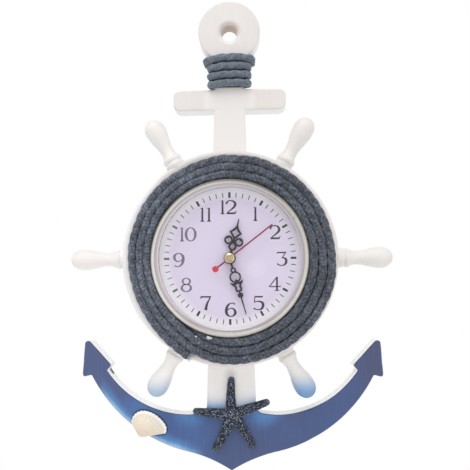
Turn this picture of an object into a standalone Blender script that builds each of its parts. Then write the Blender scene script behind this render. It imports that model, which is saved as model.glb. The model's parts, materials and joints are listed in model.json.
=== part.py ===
"""Ship wheel clock: a painted anchor board, a ship's wheel with six turned handles, rope laid on the
wheel's rim and wound round the anchor's neck, a starfish, a scallop shell and a round quartz clock.

Sizes are in metres. In the world +X is right, +Z is up and the clock faces -Y. The origin lies on the
board's back, at the middle of the anchor's stock. Shapes are drawn as seen from the front: x to the
right, y up, and z out of the wall towards the viewer. The empty called front turns them into place."""

import math

import bmesh
import bpy
from mathutils import Vector

# Fits
GAP = 0.0003  # between two pieces that touch
RUNNING_GAP = 0.0001  # round a turning shaft
OVERRUN = 0.002  # how far a cutter passes a face
WELD = 0.00001  # points closer than this are one

# Anchor board
BOARD_THICKNESS = 0.012
EDGE_ROUND = 0.0014  # the front edge is rounded over
HEAD_UP = 0.0501
HEAD_RADIUS = 0.0226
HANG_HOLE_RADIUS = 0.0056
HANG_HOLE_DROP = 0.0008  # below the ring head's middle
HANG_LIP = 0.0038
NECK_HALF = 0.0106
SHOULDER_HALF = 0.0135  # where the neck's flare meets the ring head
NECK_FILLET = 0.0055
STOCK_HALF = 0.041
STOCK_HEIGHT = 0.0156
STOCK_CORNER = 0.005
SHANK_TOP_HALF = 0.0112
SHANK_FOOT_HALF = 0.0179
DIAL_DROP = 0.1159  # the wheel's centre below the stock's
BODY_SETBACK = 0.0057  # the board's round body is this much smaller than the wheel

# Arms, flukes and crown. Halves are distances from the centre line.
ARM_ROOT_BELOW = 0.037  # where the arms leave the shank, below the wheel
ARM_ROOT_FILLET = 0.006
ARM_IN_SAGITTA = 0.0131
ARM_OUT_SAGITTA = 0.0097
TIP_HALF = 0.1064
TIP_RISE = 0.0577  # from the arms' root to a fluke's tip
NOTCH_IN_INSET = 0.0162  # the rest of the fluke, inwards of its tip and below it
NOTCH_IN_BELOW = 0.0251
BARB_IN_OVER = 0.0034  # how far the inner barb stands in from its notch
BARB_IN_RISE = 0.0036
BARB_OUT_OUTSET = 0.0023
BARB_OUT_BELOW = 0.0303
NOTCH_OUT_OVER = 0.0069  # how far the outer barb stands out from its notch
NOTCH_OUT_RISE = 0.0017
FLARE_HALF = 0.033
FLARE_BELOW = 0.0256  # below the arms' root
FLARE_SAGITTA = 0.0016
CROWN_BELOW = 0.0138  # below the flare
TIP_ROUND = 0.0026
BARB_ROUND = 0.0018
NOTCH_ROUND = 0.0009

# Wheel rim
RIM_RADIUS = 0.0757
RIM_LAND = 0.02095  # the rim's width outside the bezel
RIM_THICKNESS = 0.015
RIM_FRONT_ROUND = 0.003
RIM_BACK_ROUND = 0.0015

# Handles, turned about their own axis. Each row is (share of the length, share of the greatest radius).
HANDLE_COUNT = 6
HANDLE_LENGTH = 0.0376
HANDLE_RADIUS = 0.0074
DOWEL_RADIUS = 0.003
DOWEL_LENGTH = 0.0085
HANDLE_SHARES = (
    (1.0, 0.0), (0.983, 0.42), (0.94, 0.70), (0.87, 0.92), (0.79, 1.0), (0.70, 0.99), (0.60, 0.90),
    (0.50, 0.77), (0.41, 0.68), (0.33, 0.64), (0.25, 0.70), (0.20, 0.80), (0.18, 0.87), (0.16, 0.90),
    (0.12, 0.895), (0.095, 0.81), (0.07, 0.91), (0.012, 0.91), (0.0, 0.86),
)

# Rope
ROPE_DIAMETER = 0.0054
RIM_ROPE_PITCH = 0.006
RIM_ROPE_TURNS = 3
RIM_ROPE_START_DEG = 268.0  # seen from the front, anticlockwise from the right
RIM_ROPE_END_DEG = 247.0
STEP_FROM_DEG = 225.0  # each turn steps out to the next one between these angles
STEP_TO_DEG = 268.0
POINTS_PER_LOOP = 24
NECK_ROPE_PITCH = 0.0062
NECK_ROPE_TURNS = 4
NECK_FRONT_CLIMB_SHARE = 0.15
CORNER_POINTS = 4

# Starfish, one row for each arm: (direction in degrees, share of the arm length)
STAR_RIGHT = 0.0006
STAR_ARM = 0.0302
STAR_BASE_HALF = 0.0047
STAR_TIP_HALF = 0.0026
STAR_HEIGHT = 0.0070
STAR_VALLEY = 0.0056
STAR_ARM_SHARES = ((23.3, 0.955), (91.8, 0.93), (171.2, 0.95), (241.5, 0.955), (305.4, 0.89))
# One row for each station along an arm: (share of the length, of the half width's taper, of the height)
STAR_STATION_SHARES = ((0.30, 0.0, 0.90), (0.55, 0.38, 0.75), (0.80, 0.78, 0.62), (1.0, 1.0, 0.48))
STAR_SIDE_SHARES = (0.78, 0.68)  # the cage's shoulder: share of the half width, share of the height

# Scallop shell
SHELL_LEFT = 0.0660
SHELL_BELOW = 0.0152  # its hinge, below the arms' root
SHELL_TURN_DEG = -25.0
SHELL_LENGTH = 0.0205
SHELL_FAN_DEG = 112.0
# How far the margin reaches, one row for each direction: (degrees right of the middle, share of the length)
SHELL_REACH_SHARES = (
    (-56.0, 0.585), (-50.0, 0.68), (-40.0, 0.81), (-25.0, 0.917), (-10.0, 0.942), (0.0, 0.947),
    (15.0, 0.957), (30.0, 0.976), (40.0, 0.995), (48.0, 0.99), (56.0, 0.903),
)
SHELL_DOME = 0.0060
SHELL_WALL = 0.0011
SHELL_RIBS = 13
SHELL_RIB_HEIGHT = 0.0003
SHELL_HINGE_SHARE = 0.16
SHELL_ROWS = 7

# Clock insert: widths and radii about the dial's axis, and thicknesses
BEZEL_WIDTH = 0.0055
BEZEL_WALL = 0.00105
BEZEL_RISE = 0.0028  # from the lens flange to the bezel's crest
CAN_WALL = 0.001
CAN_DEPTH = 0.0055  # behind the flange
CAN_FLOOR = 0.0012
CAN_FLANGE = 0.0012
FLANGE_WIDTH = 0.0022
DIAL_THICKNESS = 0.0008
LENS_THICKNESS = 0.0015
LENS_RISE = 0.0045
LENS_FOOT = 0.0032
LENS_RINGS = 3
# The bezel's front from its opening outwards: (share of its width, share of its rise)
BEZEL_SHARES = ((0.0, 0.25), (0.14, 0.36), (0.34, 0.42), (0.5, 0.86), (0.72, 1.0), (0.9, 0.8), (1.0, 0.4))
SPINDLE_HOLE = 0.0039

# Movement
CASE_DEPTH = 0.015
CASE_CORNER = 0.004
CASE_WALL = 0.0014
CASE_FLOOR = 0.0016
BAY_FLOOR = 0.0007
BATTERY_RADIUS = 0.007
BATTERY_LENGTH = 0.0487
BATTERY_NUB_RADIUS = 0.0027
BATTERY_NUB_LENGTH = 0.0015
CONTACT_THICKNESS = 0.0004
CONTACT_BOW = 0.0004  # of the sprung leaf
CONTACT_WIDTH = 0.009
COVER_THICKNESS = 0.0014
EAR_REACH = 0.0075
EAR_HALF = 0.0045
EAR_THICKNESS = 0.003
SCREW_RADIUS = 0.0013
SCREW_HEAD_RADIUS = 0.0027
SCREW_HEAD_HEIGHT = 0.0016
SCREW_SLOT = 0.0006

# Spindle: nested pipes on the dial's axis
BUSH_RADIUS = 0.0036
BUSH_FLANGE_RADIUS = 0.0052
BUSH_FLANGE = 0.0007
BUSH_WALL = 0.0009
BUSH_REACH = 0.0012  # in front of the dial
PIPE_WALL = 0.0007
ARBOR_WALL = 0.0007
PIPE_REACH = 0.0004
HAND_STEP = 0.0015  # from the front of one hand to the front of the next
HAND_THICKNESS = 0.0006
HUB_THICKNESS = 0.0009
SECOND_HAND_THICKNESS = 0.0004

# Motion work: gear teeth. The minute pinion drives the motion wheel, whose pinion drives the hour wheel.
MINUTE_PINION_TEETH = 12
MOTION_WHEEL_TEETH = 36
MOTION_PINION_TEETH = 10
HOUR_WHEEL_TEETH = 40
MINUTE_WHEEL_TEETH = 30
SECOND_WHEEL_TEETH = 24
MOTION_MODULE = 0.0004
TRAIN_MODULE = 0.00045
WHEEL_THICKNESS = 0.0012
WHEEL_SPACE = 0.0007
WHEEL_ROOM = 0.0023  # from the hour wheel's teeth to the wall above the battery
MOTION_ARBOR_RADIUS = 0.0009
MOTION_SEAT_RADIUS = 0.0022
KNOB_RADIUS = 0.0048
KNOB_HEIGHT = 0.0026
KNOB_FLUTES = 12
KNOB_FLUTE_DEPTH = 0.0004
# A tooth's half thickness at the root and the tip, as shares of the tooth pitch
TOOTH_ROOT_SHARE = 0.27
TOOTH_TIP_SHARE = 0.11
ADDENDUM_SHARE = 0.85
DEDENDUM_SHARE = 1.2

# Electronics inside the case
BOARD_CHIP_LENGTH = 0.018
BOARD_CHIP_WIDTH = 0.011
BOARD_CHIP_THICKNESS = 0.001
COIL_RADIUS = 0.0032
COIL_LENGTH = 0.015
COIL_CORE_RADIUS = 0.0014
COIL_CORE_OVER = 0.0025

# Hands, with their directions at rest in degrees clockwise from twelve
HOUR_DEG = 13.7
MINUTE_DEG = 163.9
SECOND_DEG = 52.2
HOUR_LENGTH_SHARE = 0.563  # of the dial's radius, as for the other hands
HOUR_HUB_SHARE = 0.1495  # of the hand's length
HOUR_BAR = 0.00105
MINUTE_LENGTH_SHARE = 0.81
MINUTE_HUB_SHARE = 0.0891
MINUTE_BAR = 0.0009
SECOND_LENGTH_SHARE = 0.75
SECOND_TAIL_SHARE = 0.2485
SECOND_DISC = 0.0021
SECOND_HUB = 0.0017
SECOND_BAR = 0.00105
# Outlines of the pierced hands, as (side, along) shares of the hand's length
HOUR_NECK_SHARES = ((0.036, 0.125), (0.025, 0.225))
HOUR_DROP_SHARES = (0.297, 0.1, 0.438, 0.06, 0.385)  # middle, outer radius and tip, inner radius and tip
HOUR_RING_SHARES = (0.132, 0.437)
HOUR_RING_RADIUS_SHARE = 0.107
HOUR_SPUR_DEG = 30.0
HOUR_JOINT_SHARES = ((0.0, 0.40), (0.034, 0.455), (0.0, 0.51))
HOUR_KITE_SHARES = (
    (0.0, 0.475), (0.157, 0.655), (0.10, 0.70), (0.055, 0.755), (0.018, 0.825), (0.008, 1.0),
)
HOUR_KITE_HOLE_SHARES = ((0.0, 0.535), (0.099, 0.652), (0.057, 0.681), (0.024, 0.716), (0.0, 0.752))
MINUTE_NECK_SHARES = ((0.022, 0.075), (0.013, 0.18))
MINUTE_NEEDLE_SHARES = ((0.013, 0.58), (0.0065, 1.0))
MINUTE_CALYX_SHARES = (
    (0.0, 0.427), (0.06, 0.434), (0.118, 0.412), (0.09, 0.462), (0.06, 0.495), (0.052, 0.52),
    (0.062, 0.553), (0.045, 0.597),
)
MINUTE_CALYX_HOLE_SHARES = (
    (0.0, 0.46), (0.037, 0.474), (0.026, 0.50), (0.0225, 0.525), (0.031, 0.555), (0.022, 0.573),
)
# The rounds on the minute hand: (share along, share of the radius, whether it is a ring, sides)
MINUTE_ROUND_SHARES = (
    (0.216, 0.048, True, 12), (0.339, 0.098, True, 18), (0.405, 0.022, False, 8), (0.661, 0.046, False, 14),
)
BOSS_RADIUS = 0.0037
BOSS_HEIGHT = 0.0016
BOSS_FACE_SHARE = 0.6

# Places that follow from the sizes above
ARM_ROOT_DROP = DIAL_DROP + RIM_RADIUS + ARM_ROOT_BELOW
TIP_DROP = ARM_ROOT_DROP - TIP_RISE
NOTCH_IN_HALF = TIP_HALF - NOTCH_IN_INSET
NOTCH_IN_DROP = TIP_DROP + NOTCH_IN_BELOW
BARB_OUT_HALF = TIP_HALF + BARB_OUT_OUTSET
BARB_OUT_DROP = TIP_DROP + BARB_OUT_BELOW
NOTCH_OUT_HALF = BARB_OUT_HALF - NOTCH_OUT_OVER
NOTCH_OUT_DROP = BARB_OUT_DROP - NOTCH_OUT_RISE
FLARE_DROP = ARM_ROOT_DROP + FLARE_BELOW
CROWN_DROP = FLARE_DROP + CROWN_BELOW
BOARD_FRONT = BOARD_THICKNESS
RIM_BACK = BOARD_FRONT + GAP
RIM_FRONT = RIM_BACK + RIM_THICKNESS
RIM_MIDDLE = (RIM_BACK + RIM_FRONT) / 2
ROPE_RADIUS = ROPE_DIAMETER / 2
BODY_RADIUS = RIM_RADIUS - BODY_SETBACK
BEZEL_RADIUS = RIM_RADIUS - RIM_LAND
BEZEL_OPENING = BEZEL_RADIUS - BEZEL_WIDTH
FLANGE_RADIUS = BEZEL_RADIUS - BEZEL_WALL - GAP
CAN_RADIUS = FLANGE_RADIUS - FLANGE_WIDTH
BORE_RADIUS = CAN_RADIUS + GAP
DIAL_RADIUS = CAN_RADIUS - CAN_WALL - GAP
HOUR_LENGTH = DIAL_RADIUS * HOUR_LENGTH_SHARE
HOUR_HUB = HOUR_LENGTH * HOUR_HUB_SHARE
MINUTE_LENGTH = DIAL_RADIUS * MINUTE_LENGTH_SHARE
MINUTE_HUB = MINUTE_LENGTH * MINUTE_HUB_SHARE
SECOND_LENGTH = DIAL_RADIUS * SECOND_LENGTH_SHARE
SECOND_TAIL = DIAL_RADIUS * SECOND_TAIL_SHARE
FLANGE_BACK = RIM_FRONT + GAP
FLANGE_FRONT = FLANGE_BACK + CAN_FLANGE
CAN_BACK = FLANGE_BACK - CAN_DEPTH
CAN_INSIDE = CAN_BACK + CAN_FLOOR
DIAL_BACK = CAN_INSIDE + GAP
DIAL_FRONT = DIAL_BACK + DIAL_THICKNESS
LENS_BACK = FLANGE_FRONT + GAP
LENS_EDGE = LENS_BACK + LENS_THICKNESS
BAY_LENGTH = BATTERY_LENGTH + BATTERY_NUB_LENGTH + 2 * CONTACT_THICKNESS + CONTACT_BOW + 4 * GAP
CASE_SIDE = BAY_LENGTH + 2 * CASE_WALL
CASE_FRONT = CAN_BACK - GAP
CASE_BACK = CASE_FRONT - CASE_DEPTH
CHAMBER_FLOOR = CASE_FRONT - CASE_FLOOR
BUSH_BACK = CHAMBER_FLOOR - GAP - BUSH_FLANGE
BUSH_BORE = BUSH_RADIUS - BUSH_WALL
PIPE_RADIUS = BUSH_BORE - RUNNING_GAP
PIPE_BORE = PIPE_RADIUS - PIPE_WALL
ARBOR_RADIUS = PIPE_BORE - RUNNING_GAP
ARBOR_BORE = ARBOR_RADIUS - ARBOR_WALL
PIN_RADIUS = ARBOR_BORE - RUNNING_GAP
HOUR_HAND_FRONT = DIAL_FRONT + BUSH_REACH + GAP + HAND_STEP - HAND_THICKNESS
MINUTE_HAND_FRONT = HOUR_HAND_FRONT + HAND_STEP
SECOND_HAND_FRONT = MINUTE_HAND_FRONT + HAND_STEP
HOUR_WHEEL_FRONT = BUSH_BACK - WHEEL_SPACE
MOTION_WHEEL_FRONT = HOUR_WHEEL_FRONT - WHEEL_THICKNESS - WHEEL_SPACE
MINUTE_WHEEL_FRONT = MOTION_WHEEL_FRONT - WHEEL_THICKNESS - WHEEL_SPACE
SECOND_WHEEL_FRONT = MINUTE_WHEEL_FRONT - WHEEL_THICKNESS - WHEEL_SPACE
MOTION_CENTRES = MOTION_MODULE * (MINUTE_PINION_TEETH + MOTION_WHEEL_TEETH) / 2
HOUR_MODULE = MOTION_CENTRES * 2 / (MOTION_PINION_TEETH + HOUR_WHEEL_TEETH)
COVER_FRONT = CASE_BACK + COVER_THICKNESS
CHAMBER_BOTTOM = -HOUR_MODULE * (HOUR_WHEEL_TEETH / 2 + ADDENDUM_SHARE) - WHEEL_ROOM
BAY_TOP = CHAMBER_BOTTOM - CASE_WALL
BAY_FOOT = BAY_TOP - 2 * (BATTERY_RADIUS + GAP)
CASE_FOOT = BAY_FOOT - CASE_WALL


def clear_scene():
    for old in list(bpy.data.objects):
        bpy.data.objects.remove(old, do_unlink=True)


clear_scene()
PARTS = bpy.data.collections.new("ship_wheel_clock")
HELPERS = bpy.data.collections.new("cutters")
bpy.context.scene.collection.children.link(PARTS)
bpy.context.scene.collection.children.link(HELPERS)


# Materials

def paint(name, colour, roughness, metallic=0.0):
    made = bpy.data.materials.new(name)
    made.use_nodes = True
    shader = made.node_tree.nodes["Principled BSDF"]
    shader.inputs["Base Color"].default_value = (*colour, 1.0)
    shader.inputs["Roughness"].default_value = roughness
    shader.inputs["Metallic"].default_value = metallic
    made.diffuse_color = (*colour, 1.0)
    return made


ANCHOR_PAINT = paint("anchor_paint", (0.80, 0.78, 0.75), 0.5)
WHEEL_PAINT = paint("wheel_paint", (0.82, 0.80, 0.77), 0.5)
SLATE_ROPE = paint("slate_rope", (0.07, 0.09, 0.12), 0.9)
STAR_GRIT = paint("star_grit", (0.02, 0.03, 0.045), 0.8)
SHELL_CREAM = paint("shell_cream", (0.80, 0.66, 0.54), 0.4)
CHAMPAGNE = paint("champagne_metal", (0.72, 0.69, 0.60), 0.25, 1.0)
WHITE_PLASTIC = paint("white_plastic", (0.78, 0.78, 0.76), 0.4)
DIAL_FACE = paint("dial_face", (0.72, 0.66, 0.84), 0.4)
CLEAR_LENS = paint("clear_lens", (0.95, 0.96, 0.97), 0.02)
BLACK_PLASTIC = paint("black_plastic", (0.02, 0.02, 0.02), 0.45)
BLACK_HAND = paint("black_hand", (0.015, 0.015, 0.02), 0.35)
RED_HAND = paint("red_hand", (0.55, 0.03, 0.07), 0.35)
BRASS = paint("brass", (0.80, 0.62, 0.30), 0.25, 1.0)
GEAR_PLASTIC = paint("gear_plastic", (0.75, 0.72, 0.62), 0.4)
STEEL = paint("steel", (0.60, 0.60, 0.60), 0.3, 1.0)
BATTERY_JACKET = paint("battery_jacket", (0.10, 0.10, 0.12), 0.35)
CIRCUIT_GREEN = paint("circuit_green", (0.03, 0.18, 0.09), 0.4)
COPPER = paint("copper", (0.60, 0.25, 0.12), 0.35, 1.0)


# Frames

def empty(name, parent=None, place=(0, 0, 0), turn=(0, 0, 0)):
    made = bpy.data.objects.new(name, None)
    made.parent = parent
    made.location = place
    made.rotation_euler = turn
    PARTS.objects.link(made)
    return made


FRONT = empty("front", turn=(math.radians(90), 0, 0))
DIAL_AXIS = empty("dial_axis", FRONT, (0, -DIAL_DROP, 0))
MOTION_AXIS = empty("motion_axis", DIAL_AXIS, (0, MOTION_CENTRES, 0))


def add(name, data, colour, parent, place=(0, 0, 0), turn=(0, 0, 0), group=PARTS):
    piece = bpy.data.objects.new(name, data)
    data.materials.clear()
    data.materials.append(colour)
    piece.parent = parent
    piece.location = place
    piece.rotation_euler = turn
    group.objects.link(piece)
    if group is HELPERS:
        piece.hide_render = True
        piece.display_type = "WIRE"
    return piece


# Flat shapes

def on_circle(centre, radius, degrees):
    turn = math.radians(degrees)
    return (centre[0] + radius * math.cos(turn), centre[1] + radius * math.sin(turn))


def circle(centre, radius, sides):
    return [on_circle(centre, radius, 360 * i / sides) for i in range(sides)]


def arc(centre, radius, first, last, steps):
    return [on_circle(centre, radius, first + (last - first) * i / steps) for i in range(steps + 1)]


def bow(start, end, sagitta, steps):
    """An arc from start to end that bulges to the right of the way there, or to the left if negative."""
    start, end = Vector(start), Vector(end)
    along = end - start
    side = Vector((along.y, -along.x)).normalized()
    half = along.length / 2
    radius = (half * half + sagitta * sagitta) / (2 * abs(sagitta))
    centre = (start + end) / 2 + side * (sagitta - math.copysign(radius, sagitta))
    first = (start - centre).to_2d()
    sweep = 2 * math.asin(min(1.0, half / radius)) * -math.copysign(1, sagitta)
    points = []
    for i in range(steps + 1):
        turn = sweep * -i / steps
        points.append((
            centre.x + first.x * math.cos(turn) - first.y * math.sin(turn),
            centre.y + first.x * math.sin(turn) + first.y * math.cos(turn),
        ))
    return points


def fillet(before, corner, after, radius, steps):
    """The rounded corner between two straight runs, limited by their lengths."""
    before, corner, after = Vector(before), Vector(corner), Vector(after)
    back, on = before - corner, after - corner
    half_angle = back.angle(on) / 2
    reach = min(radius / math.tan(half_angle), back.length * 0.95, on.length * 0.95)
    radius = reach * math.tan(half_angle)
    start = corner + back.normalized() * reach
    end = corner + on.normalized() * reach
    middle = corner + (back.normalized() + on.normalized()).normalized() * radius / math.sin(half_angle)
    first, last = start - middle, end - middle
    sweep = first.angle_signed(last)
    points = []
    for i in range(steps + 1):
        turn = -sweep * i / steps
        points.append((
            middle.x + first.x * math.cos(turn) - first.y * math.sin(turn),
            middle.y + first.x * math.sin(turn) + first.y * math.cos(turn),
        ))
    return points


def flat_curve(name, loops, thickness):
    """A flat outline of that thickness. Every loop after the first is a hole in it."""
    curve = bpy.data.curves.new(name, "CURVE")
    curve.dimensions = "2D"
    curve.fill_mode = "BOTH"
    curve.extrude = thickness / 2
    for loop in loops:
        spline = curve.splines.new("POLY")
        spline.points.add(len(loop) - 1)
        for point, (x, y) in zip(spline.points, loop):
            point.co = (x, y, 0, 1)
        spline.use_cyclic_u = True
    return curve


def plate(name, loops, back, front, colour, parent, turn=0.0, group=PARTS):
    data = flat_curve(name, loops, front - back)
    return add(name, data, colour, parent, (0, 0, (back + front) / 2), (0, 0, turn), group)


def as_mesh(piece, flat_caps=True):
    """The curve's evaluated mesh under the same name and at the same place, with its caps welded on."""
    bpy.context.view_layer.update()
    graph = bpy.context.evaluated_depsgraph_get()
    mesh = bpy.data.meshes.new_from_object(piece.evaluated_get(graph))
    shape = bmesh.new()
    shape.from_mesh(mesh)
    bmesh.ops.remove_doubles(shape, verts=shape.verts, dist=WELD)
    if flat_caps:
        bmesh.ops.dissolve_limit(
            shape, angle_limit=math.radians(0.1), verts=shape.verts, edges=shape.edges
        )
    bmesh.ops.recalc_face_normals(shape, faces=shape.faces)
    shape.to_mesh(mesh)
    shape.free()
    name, colour, parent = piece.name, piece.data.materials[0], piece.parent
    place, turn = tuple(piece.location), tuple(piece.rotation_euler)
    group = HELPERS if piece.name in HELPERS.objects else PARTS
    old = piece.data
    bpy.data.objects.remove(piece, do_unlink=True)
    bpy.data.curves.remove(old)
    mesh.name = name
    return add(name, mesh, colour, parent, place, turn, group)


# Turned shapes

def turned(name, profile, steps, colour, parent, closed=False, group=PARTS, place=(0, 0, 0), turn=(0, 0, 0)):
    """A profile of (radius, height) that runs down its outer side, turned about the local z axis."""
    mesh = bpy.data.meshes.new(name)
    edges = [(i, i + 1) for i in range(len(profile) - 1)]
    if closed:
        edges.append((len(profile) - 1, 0))
    mesh.from_pydata([(radius, 0, height) for radius, height in profile], edges, [])
    piece = add(name, mesh, colour, parent, place, turn, group)
    screw = piece.modifiers.new("turn", "SCREW")
    screw.axis = "Z"
    screw.angle = math.tau
    screw.steps = steps
    screw.render_steps = steps
    screw.use_merge_vertices = True
    screw.merge_threshold = WELD
    screw.use_smooth_shade = True
    return piece


def washer_profile(inner, outer, back, front):
    return [(inner, front), (outer, front), (outer, back), (inner, back)]


def rod_profile(radius, back, front):
    return [(0, front), (radius, front), (radius, back), (0, back)]


def cut(piece, cutter, operation="DIFFERENCE"):
    change = piece.modifiers.new(cutter.name, "BOOLEAN")
    change.operation = operation
    change.object = cutter
    return change


def join(piece, helpers):
    """Joins separate closed shapes onto a piece as one body."""
    for helper in helpers:
        cut(piece, helper, "UNION")


def block(name, low, high, colour, parent, group=PARTS):
    """A box between two corners."""
    mesh = bpy.data.meshes.new(name)
    shape = bmesh.new()
    bmesh.ops.create_cube(shape, size=1.0)
    for vert in shape.verts:
        for i in range(3):
            vert.co[i] = low[i] + (high[i] - low[i]) * (vert.co[i] + 0.5)
    shape.to_mesh(mesh)
    shape.free()
    return add(name, mesh, colour, parent, group=group)


# Anchor board

def shank_half(up):
    top, foot = -STOCK_HEIGHT / 2, -ARM_ROOT_DROP
    share = (top - up) / (top - foot)
    return SHANK_TOP_HALF + (SHANK_FOOT_HALF - SHANK_TOP_HALF) * share


def right_half():
    """The board's outline from the top of the ring head down the right side to the crown."""
    head = (0, HEAD_UP)
    shoulder_up = HEAD_UP - math.sqrt(HEAD_RADIUS**2 - SHOULDER_HALF**2)
    shoulder_deg = math.degrees(math.atan2(shoulder_up - HEAD_UP, SHOULDER_HALF))
    stock_top, stock_foot = STOCK_HEIGHT / 2, -STOCK_HEIGHT / 2
    points = arc(head, HEAD_RADIUS, 90, shoulder_deg, 13)
    slope = HEAD_RADIUS * (SHOULDER_HALF - NECK_HALF) / -(shoulder_up - HEAD_UP)
    neck_top = (NECK_HALF, shoulder_up - slope * SHOULDER_HALF / HEAD_RADIUS)
    points += fillet((SHOULDER_HALF, shoulder_up), neck_top, (NECK_HALF, stock_top), NECK_FILLET, 5)
    points.append((NECK_HALF, stock_top))
    upper, lower = (STOCK_HALF, stock_top), (STOCK_HALF, stock_foot)
    points += fillet((NECK_HALF, stock_top), upper, lower, STOCK_CORNER, 5)
    points += fillet(upper, lower, (SHANK_TOP_HALF, stock_foot), STOCK_CORNER, 5)
    points.append((SHANK_TOP_HALF, stock_foot))
    top_half = shank_half(-DIAL_DROP + BODY_RADIUS)
    foot_half = shank_half(-DIAL_DROP - BODY_RADIUS)
    first = math.degrees(math.acos(top_half / BODY_RADIUS))
    last = -math.degrees(math.acos(foot_half / BODY_RADIUS))
    points += arc((0, -DIAL_DROP), BODY_RADIUS, first, last, 16)
    root = (SHANK_FOOT_HALF, -ARM_ROOT_DROP)
    notch_in = (NOTCH_IN_HALF, -NOTCH_IN_DROP)
    inner = bow(root, notch_in, ARM_IN_SAGITTA, 10)
    points += fillet(points[-1], root, inner[2], ARM_ROOT_FILLET, 4)
    points += inner[2:-1]
    barb_in = (NOTCH_IN_HALF - BARB_IN_OVER, -NOTCH_IN_DROP + BARB_IN_RISE)
    tip = (TIP_HALF, -TIP_DROP)
    barb_out = (BARB_OUT_HALF, -BARB_OUT_DROP)
    notch_out = (NOTCH_OUT_HALF, -NOTCH_OUT_DROP)
    outer = bow(notch_out, (FLARE_HALF, -FLARE_DROP), -ARM_OUT_SAGITTA, 11)
    points += fillet(inner[-2], notch_in, barb_in, NOTCH_ROUND, 2)
    points += fillet(notch_in, barb_in, tip, BARB_ROUND, 4)
    points += fillet(barb_in, tip, barb_out, TIP_ROUND, 6)
    points += fillet(tip, barb_out, notch_out, BARB_ROUND, 5)
    points += fillet(barb_out, notch_out, outer[1], NOTCH_ROUND, 2)
    points += outer[1:]
    points += bow((FLARE_HALF, -FLARE_DROP), (0, -CROWN_DROP), FLARE_SAGITTA, 4)[1:]
    return points


def round_front_edge(piece, front, width, steps):
    """Rounds over the rim of the flat front face and leaves the rest sharp."""
    shape = bmesh.new()
    shape.from_mesh(piece.data)
    weight = shape.edges.layers.float.new("bevel_weight_edge")
    for edge in shape.edges:
        at_front = all(abs(vert.co.z - front) < WELD for vert in edge.verts)
        edge[weight] = 1.0 if at_front else 0.0
    shape.to_mesh(piece.data)
    shape.free()
    bevel = piece.modifiers.new("round_front", "BEVEL")
    bevel.limit_method = "WEIGHT"
    bevel.width = width
    bevel.segments = steps
    bevel.use_clamp_overlap = False


def split_back(piece, back, ends):
    """Splits the flat back from one outline point to another, so that the wall face keeps to the stock."""
    shape = bmesh.new()
    shape.from_mesh(piece.data)
    for pair in ends:
        corners = []
        for x, y in pair:
            corners.append(min(shape.verts, key=lambda vert: (vert.co - Vector((x, y, back))).length))
        shared = set(corners[0].link_faces) & set(corners[1].link_faces)
        bmesh.utils.face_split(shared.pop(), *corners)
    shape.to_mesh(piece.data)
    shape.free()


def hanging_hole_cutter():
    """A round hole whose front edge is a rounded lip."""
    lip_radius = HANG_HOLE_RADIUS + HANG_LIP
    lip = []
    for degrees in (75, 45, 15):
        turn = math.radians(degrees)
        lip.append((
            lip_radius - HANG_LIP * math.cos(turn),
            BOARD_FRONT - HANG_LIP + HANG_LIP * math.sin(turn),
        ))
    profile = [(0, BOARD_FRONT + OVERRUN), (lip_radius, BOARD_FRONT + OVERRUN), *lip]
    profile += [(HANG_HOLE_RADIUS, -OVERRUN), (0, -OVERRUN)]
    return turned(
        "hanging_hole", profile, 24, ANCHOR_PAINT, FRONT, group=HELPERS,
        place=(0, HEAD_UP - HANG_HOLE_DROP, 0),
    )


def make_anchor_board():
    right = right_half()
    left = [(-x, y) for x, y in reversed(right[1:-1])]
    board = plate("anchor_board", [right + left], 0, BOARD_FRONT, ANCHOR_PAINT, FRONT)
    board = as_mesh(board)
    corner_up = STOCK_HEIGHT / 2 - STOCK_CORNER
    split_back(board, -BOARD_THICKNESS / 2, (
        ((-STOCK_HALF, corner_up), (STOCK_HALF, corner_up)),
        ((-SHANK_TOP_HALF, -STOCK_HEIGHT / 2), (SHANK_TOP_HALF, -STOCK_HEIGHT / 2)),
    ))
    round_front_edge(board, BOARD_THICKNESS / 2, EDGE_ROUND, 2)
    bore = turned(
        "clock_bore", rod_profile(BORE_RADIUS, -OVERRUN, BOARD_FRONT + OVERRUN), 48, ANCHOR_PAINT,
        DIAL_AXIS, group=HELPERS,
    )
    cut(board, bore)
    cut(board, hanging_hole_cutter())


# Wheel

def make_wheel_rim():
    outer = arc((RIM_RADIUS - RIM_FRONT_ROUND, RIM_FRONT - RIM_FRONT_ROUND), RIM_FRONT_ROUND, 90, 0, 3)
    outer += arc((RIM_RADIUS - RIM_BACK_ROUND, RIM_BACK + RIM_BACK_ROUND), RIM_BACK_ROUND, 0, -90, 2)
    profile = [(BORE_RADIUS, RIM_FRONT), *outer, (BORE_RADIUS, RIM_BACK)]
    rim = turned("wheel_rim", profile, 64, WHEEL_PAINT, DIAL_AXIS, closed=True)
    depth = DOWEL_LENGTH + GAP
    for i in range(HANDLE_COUNT):
        turn = math.tau * i / HANDLE_COUNT
        hole = turned(
            f"dowel_hole_{i + 1}", rod_profile(DOWEL_RADIUS + GAP, -depth, OVERRUN), 12, WHEEL_PAINT,
            DIAL_AXIS, group=HELPERS, turn=(0, math.radians(90), turn),
            place=(RIM_RADIUS * math.cos(turn), RIM_RADIUS * math.sin(turn), RIM_MIDDLE),
        )
        cut(rim, hole)


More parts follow.
